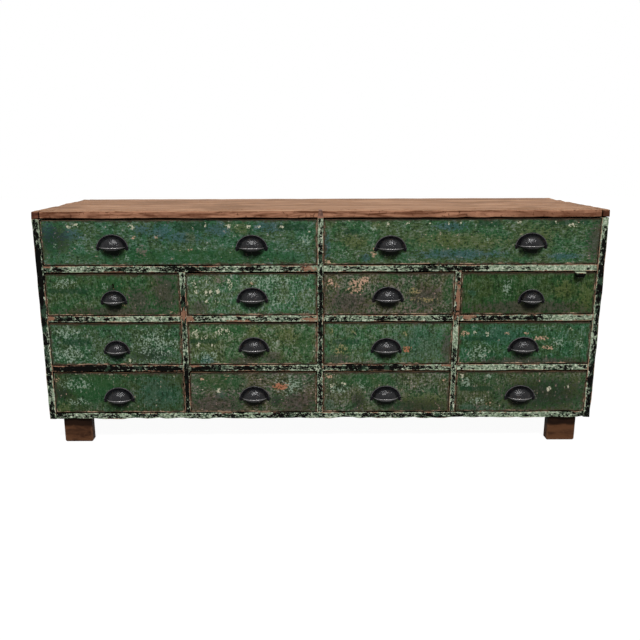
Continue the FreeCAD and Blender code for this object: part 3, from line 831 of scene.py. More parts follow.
for piece, node, slot in (
    (planks, "top_planks", "top_wood"),
    (front_lipping, "top_front_lipping", "top_edge_wood"),
    (end_lippings, "top_end_lippings", "top_edge_wood"),
):
    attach(piece, "carcass")
    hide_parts(node)


def swept(outline, front_y, depth):
    """The build of a solid with an outline of x and z, from front_y back by a depth."""
    build = bmesh.new()
    face = build.faces.new([build.verts.new((x, front_y, z)) for x, z in outline])
    moved = bmesh.ops.extrude_face_region(build, geom=[face])["geom"]
    moved = [item for item in moved if isinstance(item, bmesh.types.BMVert)]
    bmesh.ops.translate(build, verts=moved, vec=Vector((0.0, depth, 0.0)))
    bmesh.ops.recalc_face_normals(build, faces=build.faces)
    return build


# The tapered head of the centre divider, seen as dark end grain in the lipping.
centre_low, centre_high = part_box("centre_divider")
wedge_half_base = (centre_high.x - centre_low.x) / 2
wedge_half_tip = wedge_half_base / 2
wedge_proud = 0.0004
wedge_arris = 0.0004
finish = Finish("end grain")
pith = Vector((0.004, 0.0, 0.78))
ring_inputs = {"Vector": place(finish.tree) - pith, "Scale": 90.0, "Distortion": 3.0}
rings = new_node(finish.tree, "ShaderNodeTexWave", ring_inputs, wave_type="RINGS")["Fac"]
wedge_finish = finish.wear(lay(rings, (0.060, 0.022, 0.013, 1.0), (0.240, 0.105, 0.065, 1.0)), 0.7)
wedge_outline = [
    (-wedge_half_base, lipping_low.z),
    (wedge_half_base, lipping_low.z),
    (wedge_half_tip, lipping_high.z),
    (-wedge_half_tip, lipping_high.z),
]
wedge_build = swept(wedge_outline, lipping_low.y - wedge_proud, lipping_high.y - lipping_low.y + wedge_proud)
bmesh.ops.bevel(wedge_build, geom=list(wedge_build.edges), offset=wedge_arris, segments=1, affect="EDGES")
wedge = new_piece("centre_divider_head", mesh_of(wedge_build, "centre_divider_head"))
wedge.data.materials.append(wedge_finish)
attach(wedge, "carcass")

# ==== Feet: four short feet sawn from dark stained thick board, their lower edges rounded off, each
# tenoned up into the base.
foot_arris = 0.0030
foot_trim = 0.0045
seam = 0.00002
nearly_flat = 0.01
sharp_arris = math.radians(40.0)
finish = Finish("foot wood")
point = place(finish.tree)
grain = wood_grain.use(finish.tree, Stretch=Vector((2.0, 6.0, 7.0)), Lines=9.0, Bands=2.5)
edge = arris_distance.use(finish.tree)
tone = step(grain["Bands"] * 0.5 + grain["Lines"] * 0.5, 0.36, 0.62)
stain = lay(tone, (0.026, 0.011, 0.006, 1.0), (0.087, 0.038, 0.018, 1.0))
blotch = cloudy(point, 38.0, 3.0, 0.65)
stain = lay(step(blotch, 0.55, 0.70, 0.0, 0.6), stain, (0.105, 0.048, 0.024, 1.0))
rubbed = cloudy(point, 60.0, 3.0, 0.7) * -0.016 + edge["Distance"]
stain = lay(step(rubbed, -0.006, -0.003, 0.6, 0.0), stain, (0.120, 0.060, 0.034, 1.0))
# Painted shadow: the top of each foot, under the bottom rail, is darkened nearly to black.
rail_shadow = step(blotch * 0.016 + apart(point)["Z"], 0.058, 0.070, 0.0, 0.90)
stain = lay(rail_shadow, stain, (0.006, 0.003, 0.002, 1.0))
foot_wood = finish.wear(stain, 0.6, 0.035, grain["Lines"], 0.6, 0.0008)


def softened(node, name, width):
    """A copy of a carried-over node with its faces joined up again and its arrises eased."""
    build = bmesh.new()
    build.from_mesh(cad_nodes[node].data)
    bmesh.ops.remove_doubles(build, verts=build.verts, dist=seam)
    bmesh.ops.dissolve_limit(build, angle_limit=nearly_flat, verts=build.verts, edges=build.edges)
    piece = new_piece(name, mesh_of(build, name))
    easing = piece.modifiers.new("eased", "BEVEL")
    easing.width = width
    easing.segments = 1
    easing.limit_method = "ANGLE"
    easing.angle_limit = sharp_arris
    as_mesh(piece)
    piece.data.materials.clear()
    return piece


def islands(mesh):
    """The loose parts of a mesh, each a list of the numbers of its vertices."""
    build = bmesh.new()
    build.from_mesh(mesh)
    build.verts.ensure_lookup_table()
    seen = set()
    parts = []
    for start in build.verts:
        if start.index in seen:
            continue
        part, waiting = [], [start]
        seen.add(start.index)
        while waiting:
            vertex = waiting.pop()
            part.append(vertex.index)
            for edge in vertex.link_edges:
                other = edge.other_vert(vertex)
                if other.index not in seen:
                    seen.add(other.index)
                    waiting.append(other)
        parts.append(part)
    build.free()
    return parts


feet = softened("feet", "stained_feet", foot_arris)
feet_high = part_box("feet")[1]
foot_middle = (feet_high.x + min(abs(vertex.co.x) for vertex in feet.data.vertices)) / 2
for vertex in feet.data.vertices:
    if abs(vertex.co.x) < foot_middle:
        vertex.co.x += math.copysign(foot_trim, vertex.co.x)
foot_corners = {}
for part in islands(feet.data):
    places = [feet.data.vertices[index].co for index in part]
    low = Vector([min(found[axis] for found in places) for axis in range(3)])
    high = Vector([max(found[axis] for found in places) for axis in range(3)])
    high.z = bottom_low.z
    foot_corners.update({index: (low, high) for index in part})
stamp_corners(feet.data, [foot_corners[index] for index in range(len(feet.data.vertices))])
feet.data.materials.append(foot_wood)
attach(feet, "carcass")
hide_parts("feet")

# ==== Drawer boxes: sides, back and bottom of bare pine, the sides dovetailed into the painted fronts.
# The bottom slides in a groove under the back. Handling has darkened the wood.
box_arris = 0.0008
box_side = 0.012
box_clear = 0.0005
drawer_names = sorted(name for name in frame["bodies"] if name.startswith("drawer_"))
side_pine = bare_pine("drawer side pine", Vector((18.0, 0.7, 18.0)), 0.10)
cross_pine = bare_pine("drawer cross pine", Vector((0.7, 18.0, 18.0)), 0.10)
for drawer in drawer_names:
    box = softened(drawer + "_box", "pine_box_" + drawer, box_arris)
    box.data.materials.append(side_pine)
    box.data.materials.append(cross_pine)
    low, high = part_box(drawer + "_box")
    for polygon in box.data.polygons:
        from_side = min(polygon.center.x - low.x, high.x - polygon.center.x)
        polygon.material_index = int(from_side > box_side + box_clear)
    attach(box, drawer)
    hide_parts(drawer + "_box")

# ==== Drawer fronts: pine boards 20 mm thick, brushed deep green over older coats, much chipped and stained.
# Every one has its own patches where the colour has gone blue or olive, paled, browned or come away.
front_arris = 0.0016
front_rub = 0.0013
front_slice = 0.03
front_inset = 0.0002
front_painted = 0.003
end_grain_brown = (0.034, 0.019, 0.011, 1.0)

# The green coat: cloudy, flecked darker and paler, with brush marks drawn out along the streak.
drawer_coat = Group("drawer coat", Tone=(0.05, 0.09, 0.06, 1.0), Streak=Vector((1.0, 1.0, 1.0)), Worn=0.5)
given = drawer_coat.given
point = place(drawer_coat.tree)
tone = given["Tone"]
warp_inputs = {"Vector": point, "Scale": 110.0, "Detail": 3.0, "Roughness": 0.75}
warp = new_node(drawer_coat.tree, "ShaderNodeTexNoise", warp_inputs)["Color"]
deep = lay(1.0, tone, (0.22, 0.25, 0.23, 1.0), "MULTIPLY")
olive = lay(1.0, tone, (1.10, 1.00, 0.66, 1.0), "MULTIPLY")
clear = lay(1.0, tone, (0.62, 1.06, 0.74, 1.0), "MULTIPLY")
pale = lay(1.0, tone, (3.3, 2.3, 3.5, 1.0), "MULTIPLY")
coat = lay(step(cloudy(point, 16.0, 3.0, 0.65), 0.40, 0.60), olive, clear)
level = cloudy(point * given["Streak"], 240.0, 3.0, 0.65) * 0.55 + cloudy(point, 75.0, 4.0, 0.70) * 0.45
coat = lay(step(level, 0.36, 0.50, 0.95, 0.0), coat, deep)
coat = lay(step(level, 0.50, 0.66, 0.0, 0.90), coat, pale)
flecks = cloudy(point, 170.0, 3.0, 0.70)
worn_flecks = (flecks - 0.5) * (given["Worn"] * 1.1 + 0.9) + 0.5
coat = lay(step(worn_flecks, 0.34, 0.41, 0.90, 0.0), coat, deep)
coat = lay(step(worn_flecks, 0.60, 0.68, 0.0, 0.80), coat, pale)
drawer_coat.give(
    Color=coat,
    Warped=point + (warp - Vector((0.5, 0.5, 0.5))) * Vector((0.026, 0.0, 0.026)),
    Fine=level,
    Flecks=flecks,
    Web=reckon("ABSOLUTE", cloudy(point, 95.0, 3.0, 0.65) - 0.5) * -10.0 + 0.5,
)

# One mark: 1 in the middle of an oval, falling to 0 at its edge; a high Power makes it a rectangle.
mark = Group("mark", Place=Vector(), X=0.0, Z=0.0, Width=0.1, Height=0.1, Power=2.0, Others=0.0)
given = mark.given
across, _, up = apart(given["Place"])
across = reckon("ABSOLUTE", (across - given["X"]) / (given["Width"] * 0.5))
up = reckon("ABSOLUTE", (up - given["Z"]) / (given["Height"] * 0.5))
inside = 1.0 - (reckon("POWER", across, given["Power"]) + reckon("POWER", up, given["Power"]))
mark.give(Mask=reckon("MAXIMUM", inside, given["Others"]))

# Each kind of mark: colour, how square, how speckled, how webbed, the level at which it starts, how
# softly it comes in, and its strength.
mark_kinds = {
    "green": ((0.013, 0.062, 0.018, 1.0), 2.0, 3.0, 0.0, 0.10, 0.40, 0.50),
    "blue": ((0.034, 0.080, 0.100, 1.0), 2.0, 8.0, 0.0, 0.20, 0.70, 0.60),
    "teal": ((0.028, 0.080, 0.060, 1.0), 2.0, 7.0, 0.0, 0.20, 0.50, 0.38),
    "haze": ((0.084, 0.098, 0.030, 1.0), 2.0, 8.0, 0.0, 0.20, 0.50, 0.48),
    "brown": ((0.052, 0.036, 0.034, 1.0), 2.0, 8.0, 0.0, 0.20, 0.45, 0.62),
    "dark": ((0.008, 0.010, 0.009, 1.0), 2.0, 9.0, 0.0, 0.40, 0.30, 0.66),
    # Painted shadow: near black under the mouth of each pull.
    "grime": ((0.0020, 0.0028, 0.0020, 1.0), 2.0, 2.0, 0.0, 0.10, 0.55, 0.95),
    "ghost": ((0.006, 0.030, 0.014, 1.0), 6.0, 1.5, 0.0, 0.05, 0.20, 0.62),
    "pink": ((0.150, 0.105, 0.095, 1.0), 2.0, 12.0, 0.0, 0.70, 0.30, 0.65),
    "pale": ((0.230, 0.300, 0.230, 1.0), 2.0, 7.0, 0.8, 0.95, 0.30, 0.80),
    "straw": ((0.240, 0.200, 0.085, 1.0), 2.0, 12.0, 0.3, 0.95, 0.25, 0.75),
    "chip": ((0.480, 0.460, 0.340, 1.0), 2.0, 12.0, 0.0, 0.70, 0.25, 0.90),
    "peach": ((0.470, 0.290, 0.200, 1.0), 2.0, 12.0, 0.3, 0.70, 0.25, 0.85),
    "orange": ((0.340, 0.130, 0.070, 1.0), 2.0, 6.0, 0.0, 0.45, 0.25, 0.88),
}


def drawer_paint(name, tone, streak, worn, marks):
    """The green coat with one drawer's own marks; places are in whole millimetres."""
    finish = Finish(name)
    point = place(finish.tree)
    coat = drawer_coat.use(finish.tree, Tone=tone, Streak=streak, Worn=worn)
    colour = coat["Color"]
    speckle = coat["Flecks"] * 0.6 + coat["Fine"] * 0.6 - 0.6
    for kind, (shade, power, speckled, webbed, start, soft, strength) in mark_kinds.items():
        if kind not in marks:
            continue
        mask = -1.0
        for x, z, width, height in marks[kind]:
            extent = {"X": x / 1000, "Z": z / 1000, "Width": width / 1000, "Height": height / 1000}
            mask = mark.use(finish.tree, Place=coat["Warped"], Power=power, Others=mask, **extent)["Mask"]
        mask = speckle * speckled + mask
        if webbed:
            mask = coat["Web"] * webbed + mask
        colour = lay(step(mask, start, start + soft, 0.0, strength), colour, shade)
    edge = arris_distance.use(finish.tree)
    soiled = cloudy(point, 60.0, 3.0, 0.65) * -0.030 + edge["Distance"]
    colour = lay(step(soiled, -0.014, -0.006, 0.7, 0.0), colour, (0.040, 0.028, 0.018, 1.0))
    nibble = cloudy(point, 90.0, 3.0, 0.7)
    rubbed = nibble * -0.0110 + edge["Distance"] - step(edge["Foot"], 0.005, 0.010, 0.0016, 0.0)
    stretch_wear = step(cloudy(point, 12.0, 2.0, 0.6), 0.42, 0.60)
    rubbed = stretch_wear * -0.0016 + rubbed
    bare = lay(stretch_wear, (0.110, 0.058, 0.038, 1.0), (0.440, 0.290, 0.200, 1.0))
    colour = lay(step(rubbed, -0.0062, -0.0044, 0.88, 0.0), colour, bare)
    wood, _ = raw_wood(finish.tree, Vector((1.0, 12.0, 12.0)))
    # Painted shadow: the level faces of the front and a band a few millimetres deep along its top, under the
    # rail, are laid over with black undercoat.
    rail_shadow = step(nibble * -0.004 + edge["Head"], -0.0005, 0.0025, 0.9, 0.0)
    colour = lay(reckon("MAXIMUM", edge["Level"], rail_shadow), colour, undercoat)
    facing_side = apart(reckon("ABSOLUTE", facing(finish.tree)))["X"]
    wood = lay(step(facing_side, 0.7, 0.9), wood, end_grain_brown)
    colour = lay(step(edge["Front"], front_painted, front_painted + 0.002), colour, wood)
    return finish.wear(colour, step(coat["Fine"], 0.4, 0.6, 0.50, 0.66), 0.05, coat["Fine"], 0.5, 0.0006)


upright_brush = Vector((1.0, 1.0, 0.30))
dragged_brush = Vector((1.3, 1.0, 0.15))
level_brush = Vector((0.30, 1.0, 1.0))
# Each drawer's green, the way it was brushed, and how worn it is between 0 and 1.
drawer_tones = {
    "drawer_1a": ((0.039, 0.082, 0.048, 1.0), level_brush, 0.35),
    "drawer_1b": ((0.045, 0.082, 0.044, 1.0), level_brush, 0.35),
    "drawer_2a": ((0.034, 0.067, 0.031, 1.0), upright_brush, 0.45),
    "drawer_2b": ((0.057, 0.102, 0.059, 1.0), upright_brush, 0.55),
    "drawer_2c": ((0.058, 0.072, 0.042, 1.0), upright_brush, 1.00),
    "drawer_2d": ((0.027, 0.054, 0.021, 1.0), dragged_brush, 0.40),
    "drawer_3a": ((0.039, 0.076, 0.042, 1.0), upright_brush, 0.60),
    "drawer_3b": ((0.054, 0.088, 0.044, 1.0), upright_brush, 0.65),
    "drawer_3c": ((0.050, 0.090, 0.048, 1.0), dragged_brush, 0.55),
    "drawer_3d": ((0.029, 0.071, 0.036, 1.0), dragged_brush, 0.45),
    "drawer_4a": ((0.028, 0.053, 0.026, 1.0), dragged_brush, 0.35),
    "drawer_4b": ((0.056, 0.066, 0.041, 1.0), level_brush, 0.70),
    "drawer_4c": ((0.051, 0.072, 0.041, 1.0), dragged_brush, 0.75),
    "drawer_4d": ((0.040, 0.059, 0.031, 1.0), dragged_brush, 0.55),
}

# Where each drawer's marks lie, in whole millimetres: x, z, width and height.
drawer_marks = {
    "drawer_1a": {
        "blue": [
            (-852, 708, 50, 70), (-784, 698, 90, 50), (-556, 712, 60, 40), (-499, 707, 100, 62),
            (-429, 690, 150, 48), (-324, 713, 90, 52), (-168, 721, 105, 38),
        ],
        "haze": [(-406, 690, 38, 38), (-246, 718, 69, 44)],
        "ghost": [(-402, 723, 106, 28), (-88, 720, 97, 22)],
        "chip": [
            (-761, 729, 19, 9), (-786, 723, 12, 9), (-588, 723, 16, 16), (-400, 720, 9, 9),
            (-360, 729, 9, 9), (-286, 726, 19, 9), (-260, 723, 9, 9), (-224, 723, 12, 16),
            (-191, 722, 9, 6), (-122, 720, 28, 9), (-32, 704, 9, 9), (-826, 744, 44, 6),
            (-450, 744, 53, 6), (-284, 744, 22, 6),
        ],
        "peach": [(-584, 690, 11, 11), (-407, 648, 16, 9), (-513, 688, 9, 22)],
        "dark": [(-838, 685, 120, 105)],
        "pale": [
            (-834, 665, 13, 31), (-767, 673, 25, 16), (-47, 681, 53, 50), (-608, 626, 16, 35),
            (-518, 696, 6, 25), (-368, 654, 66, 9),
        ],
        "pink": [(-563, 643, 41, 44)],
        "green": [(-424, 629, 787, 47)],
    },
    "drawer_1b": {
        "ghost": [(97, 706, 47, 19), (752, 733, 78, 22), (816, 737, 31, 25), (526, 731, 75, 19)],
        "chip": [
            (212, 729, 13, 13), (278, 733, 13, 12), (340, 731, 13, 14), (401, 731, 11, 14),
            (434, 731, 13, 14), (621, 734, 13, 14), (732, 736, 11, 12), (786, 722, 28, 9), (86, 744, 24, 8),
        ],
        "haze": [(105, 673, 94, 41), (437, 676, 345, 54), (681, 690, 113, 82), (170, 722, 38, 31)],
        "blue": [
            (429, 633, 340, 38), (770, 626, 120, 22), (20, 657, 25, 98), (143, 624, 44, 31),
            (408, 722, 125, 31),
        ],
        "peach": [(168, 637, 13, 34), (26, 611, 28, 13)],
        "pale": [(522, 679, 25, 16), (164, 714, 50, 28), (80, 644, 31, 28)],
        "brown": [(863, 677, 63, 132)],
    },
    "drawer_2a": {
        "dark": [(-660, 523, 34, 38)],
        "pale": [(-818, 544, 102, 39), (-687, 536, 29, 29)],
        "ghost": [(-804, 520, 134, 16)],
        "brown": [(-494, 511, 92, 137), (-660, 453, 394, 26), (-581, 492, 80, 85)],
        "peach": [(-624, 471, 12, 10), (-470, 448, 22, 10)],
        "green": [(-674, 531, 111, 85)],
    },
    "drawer_2b": {
        "chip": [
            (-399, 542, 19, 23), (-362, 549, 10, 10), (-288, 541, 19, 39), (-397, 515, 13, 13),
            (-360, 513, 41, 23), (-327, 518, 13, 20), (-363, 484, 13, 16), (-331, 484, 13, 16),
        ],
        "pink": [(-321, 552, 41, 36)],
        "pale": [(-138, 492, 54, 59), (-96, 511, 29, 46), (-157, 551, 266, 59)],
        "brown": [(-387, 464, 67, 49)],
        "peach": [(-13, 438, 29, 10), (-216, 543, 26, 12)],
    },
    "drawer_2c": {
        "peach": [
            (109, 542, 34, 32), (138, 552, 34, 26), (102, 520, 38, 20), (49, 534, 16, 16),
            (20, 529, 16, 13), (118, 530, 44, 40), (28, 545, 30, 20),
        ],
        "straw": [(299, 515, 48, 26), (332, 487, 93, 23)],
        "teal": [(284, 495, 16, 13)],
        "pink": [(169, 451, 42, 23), (285, 456, 74, 33)],
        "green": [(407, 518, 41, 104), (223, 565, 89, 29)],
        "brown": [(91, 480, 153, 82), (333, 497, 115, 88)],
    },
    "drawer_2d": {
        "pale": [(594, 528, 41, 85)],
        "teal": [(484, 511, 29, 33)],
        "haze": [(850, 497, 64, 95), (776, 520, 73, 62)],
        "brown": [(665, 462, 413, 46)],
    },
    "drawer_3a": {
        "pale": [
            (-817, 308, 150, 87), (-533, 345, 190, 125), (-718, 286, 65, 43), (-534, 282, 180, 34),
            (-829, 381, 123, 60),
        ],
        "ghost": [(-790, 351, 91, 20)],
        "green": [(-639, 408, 393, 34)],
        "dark": [(-546, 309, 143, 64)],
        "chip": [(-620, 287, 13, 13)],
    },
    "drawer_3b": {
        "chip": [
            (-401, 379, 23, 30), (-325, 385, 26, 27), (-297, 386, 29, 17), (-376, 364, 23, 13),
            (-351, 338, 16, 13), (-395, 338, 13, 13),
        ],
        "ghost": [(-378, 353, 97, 17)],
        "pale": [(-149, 349, 23, 23), (-371, 299, 104, 57)],
        "brown": [(-155, 297, 78, 40), (-249, 286, 121, 30)],
        "blue": [(-371, 291, 65, 40)],
        "haze": [(-109, 376, 78, 44), (-209, 385, 45, 40)],
        "green": [(-49, 339, 55, 104), (-270, 395, 90, 33)],
    },
    "drawer_3c": {
        "teal": [(326, 338, 195, 140)],
        "ghost": [(84, 349, 94, 17)],
        "orange": [(283, 323, 36, 23)],
        "straw": [(37, 383, 19, 23), (110, 376, 23, 23), (276, 378, 19, 20), (70, 321, 72, 40)],
        "pink": [(166, 282, 29, 23), (75, 277, 23, 13)],
        "brown": [(57, 291, 85, 47), (411, 329, 39, 117)],
    },
    "drawer_3d": {
        "teal": [(583, 371, 207, 74)],
        "pale": [(523, 309, 91, 83), (504, 296, 39, 30), (774, 343, 58, 44), (845, 341, 39, 47)],
        "peach": [
            (467, 376, 32, 17), (602, 376, 19, 10), (665, 376, 16, 10), (715, 359, 49, 17),
            (739, 329, 39, 17),
        ],
        "chip": [(811, 390, 13, 10), (500, 379, 10, 10), (541, 374, 13, 20)],
        "ghost": [(521, 358, 113, 13)],
        "brown": [(678, 283, 425, 30)],
    },
    "drawer_4a": {
        "green": [(-738, 195, 238, 101)],
        "teal": [(-533, 174, 162, 136)],
        "haze": [(-849, 121, 66, 52)],
        "pale": [(-794, 205, 140, 56), (-801, 147, 93, 35), (-617, 111, 33, 10)],
        "peach": [(-871, 224, 30, 24), (-638, 240, 23, 10)],
        "dark": [(-850, 175, 80, 50)],
        "chip": [(-777, 245, 204, 7)],
    },
    "drawer_4b": {
        "green": [(-328, 215, 198, 66)],
        "brown": [(-347, 135, 192, 73), (-72, 142, 133, 87)],
        "pale": [(-104, 198, 125, 94)],
        "dark": [(-145, 147, 40, 42)],
        "teal": [(-328, 163, 43, 38)],
        "orange": [(-131, 198, 56, 31)],
        "peach": [(-389, 224, 16, 14), (-311, 229, 20, 17)],
        "chip": [(-336, 182, 13, 14), (-388, 184, 13, 10)],
    },
    "drawer_4c": {
        "green": [(150, 217, 244, 56)],
        "haze": [(350, 140, 179, 77)],
        "dark": [(127, 144, 53, 70), (327, 126, 226, 63)],
        "teal": [(30, 128, 50, 52)],
        "pale": [(64, 189, 86, 49), (141, 202, 36, 45)],
        "peach": [(408, 215, 16, 17), (28, 231, 20, 14)],
        "chip": [(41, 200, 13, 14), (77, 207, 13, 14)],
    },
    "drawer_4d": {
        "dark": [(739, 168, 290, 118)],
        "ghost": [(515, 188, 109, 17)],
        "teal": [(518, 116, 143, 42)],
        "pale": [(484, 212, 56, 52), (560, 233, 33, 24), (523, 146, 70, 31)],
        "pink": [(524, 128, 30, 31)],
        "chip": [(817, 193, 13, 14), (754, 186, 13, 14), (465, 231, 13, 14)],
        "peach": [(560, 135, 20, 16)],
    },
}
keyhole_radius = 0.0038
keyhole_slot = 0.0042
keyhole_height = 0.017
keyhole_rise = 0.0175
keyhole_depth = 0.014
keyhole_open = 0.002
# The round eye runs from one side of the slot to the other, in so many steps.
eye_start = math.radians(-56.0)
eye_turn = math.radians(292.0)
eye_steps = 14


def keyhole_waste(x, eye_z, face_y):
    """The solid that a keyhole's round eye and slot take out."""
    outline = []
    for index in range(eye_steps + 1):
        angle = eye_start + eye_turn * index / eye_steps
        outline.append((x + keyhole_radius * math.cos(angle), eye_z + keyhole_radius * math.sin(angle)))
    foot_z = eye_z + keyhole_radius - keyhole_height
    outline += [(x - keyhole_slot / 2, foot_z), (x + keyhole_slot / 2, foot_z)]
    return mesh_of(swept(outline, face_y - keyhole_open, keyhole_depth + keyhole_open), "keyhole")


pull_nodes = {name: name + ("_pulls" if name + "_pulls" in cad_nodes else "_pull") for name in drawer_names}
pull_sizes = {
    "large": {"width": 0.102, "height": 0.046, "hood_width": 0.080, "hood_height": 0.038},
    "small": {"width": 0.086, "height": 0.041, "hood_width": 0.067, "hood_height": 0.034},
}
# A node narrower than the first is a small pull; one wider than the second holds two pulls.
narrowest_large = 0.1
widest_single = 0.2


def pull_places(drawer):
    """The kind of each pull of a drawer and the middle of its mouth, read from its node."""
    low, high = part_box(pull_nodes[drawer])
    kind = "small" if high.x - low.x < narrowest_large else "large"
    height = pull_sizes[kind]["height"]
    middle_x = (low.x + high.x) / 2
    if high.x - low.x < widest_single:
        return kind, [(middle_x, high.z - height)]
    node = cad_nodes[pull_nodes[drawer]]
    corners = [node.matrix_world @ vertex.co for vertex in node.data.vertices]
    found = []
    for half in ([c for c in corners if c.x < middle_x], [c for c in corners if c.x > middle_x]):
        left = min(c.x for c in half)
        right = max(c.x for c in half)
        found.append(((left + right) / 2, max(c.z for c in half) - height))
    return kind, found


# A painted shadow, near black, lies under the mouth of each pull: how far below it and how high, in whole
# millimetres, and the share of the hood's width that it takes.
pull_shadow_drop = 9
pull_shadow_height = 32
pull_shadow_share = 0.9
for drawer in drawer_names:
    low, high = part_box(drawer + "_front")
    tone, streak, worn = drawer_tones[drawer]
    kind, places = pull_places(drawer)
    pull_shadow_width = 1000 * pull_shadow_share * pull_sizes[kind]["hood_width"]
    marks = dict(drawer_marks[drawer])
    marks["grime"] = [(1000 * x, 1000 * z - pull_shadow_drop, pull_shadow_width, pull_shadow_height) for x, z in places]
    paint = drawer_paint("paint of " + drawer, tone, streak, worn, marks)
    ends = Vector((front_inset, 0.0, 0.0))
    board = (low + ends, high - ends)
    front = timber("painted_front_" + drawer, [board], front_arris, front_slice, front_rub, paint)
    if drawer == "drawer_2a":
        pull_low, pull_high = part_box(pull_nodes[drawer])
        cut_away(front, keyhole_waste((pull_low.x + pull_high.x) / 2, pull_high.z + keyhole_rise, low.y))
    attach(front, drawer)
    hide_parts(drawer + "_front")

# ==== Cup pulls: cast iron, lacquered black and rubbed bright on the lip and along the flange's rim.
# A flat flange with a raised rim, a hollow hood open below with a rolled lip, and two ears for screws.
hood_reach = 0.026
hood_wall = 0.0026
lip_rise = 0.0050
lip_drop = 0.0034
lip_under = ((0.0, 0.0050), (0.35, 0.0026), (0.7, 0.0007))
lip_radius = 0.0014
lip_proud = 0.0008
ear_width = 0.011
ear_height = 0.014
ear_drop = 0.004
ear_corner = 0.0042
flange_thickness = 0.003
boss = {"width": 0.0075, "height": 0.0055, "corner": 0.0022, "thickness": flange_thickness + 0.0012}
boss_drop = 0.0035
rim_bright = 0.22
lip_end_bright = 0.12
lip_front_bright = 0.50
casting_weld = 0.00001
casting_sharp = math.radians(50.0)
# Faces with at least so many corners, the fronts of the tabs, are left flat.
fewest_flat = 12

fronts_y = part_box("drawer_1a_front")[0].y
finish = Finish("black cast iron")
point = place(finish.tree)
cast = cloudy(point, 260.0, 3.0, 0.65)
iron = lay(step(cast, 0.40, 0.66), (0.0026, 0.0026, 0.0034, 1.0), (0.0095, 0.0094, 0.0108, 1.0))
pits = step(cloudy(point, 90.0, 2.0, 0.6), 0.60, 0.70, 0.0, 0.5)
iron = lay(pits, iron, (0.030, 0.020, 0.015, 1.0))
bright_edge = attribute(finish.tree, "rubbed")["Fac"] * step(cast, 0.38, 0.58, 0.6, 1.0)
iron = lay(bright_edge, iron, (0.420, 0.410, 0.400, 1.0))
lumps = cloudy(point, 110.0, 3.0, 0.6) + cast * 0.4
black_iron = finish.wear(iron, step(cast, 0.35, 0.65, 0.22, 0.40), 0.03, lumps, 0.85, 0.0024)
feed(finish.surface["Metallic"], bright_edge * 0.8)
coat_weight = step(apart(point)["Y"], fronts_y - 0.013, fronts_y - 0.005, 0.45, 0.04)
feed(finish.surface["Coat Weight"], coat_weight)
finish.surface["Coat Roughness"].default_value = 0.21
feed(finish.surface["Coat Normal"], finish.bump)


class Shell:
    """Corners and faces gathered for one mesh; each corner has how far it is rubbed bright."""

    def __init__(self):
        self.points = []
        self.faces = []
        self.rubbed = []

    def grid(self, rows, rubbed, closed=False):
        """Faces between rows of as many corners each; closed joins the last row to the first."""
        first = len(self.points)
        count = len(rows[0])
        for row, share in zip(rows, rubbed):
            self.points += row
            self.rubbed += [share] * count
        last = len(rows) if closed else len(rows) - 1
        for row in range(last):
            after = (row + 1) % len(rows)
            for index in range(count - 1):
                corner = first + row * count + index
                other = first + after * count + index
                self.faces.append([corner, corner + 1, other + 1, other])
        return first


# The flange's section: share of the way in from its outer edge to the hood's wall, and how far out.
flange_section = (
    (0.0, 0.0), (0.0, 0.0016), (0.05, 0.0026), (0.12, 0.0030), (0.20, 0.0027), (0.30, 0.0020),
    (1.0, 0.0018), (1.0, 0.0),
)
flange_rim = (2, 3)
# A tab's rounded edge: how far in from its outline, and the share of its thickness.
tab_edge = ((0.0, 0.0), (0.0, 0.55), (0.0007, 0.88), (0.0019, 1.0))
hood_top = math.radians(88.0)
arc_steps = 32
hood_levels = 12
bead_steps = 8
angles = [math.pi * index / arc_steps for index in range(arc_steps + 1)]
upward = Vector((0.0, 0.0, 1.0))


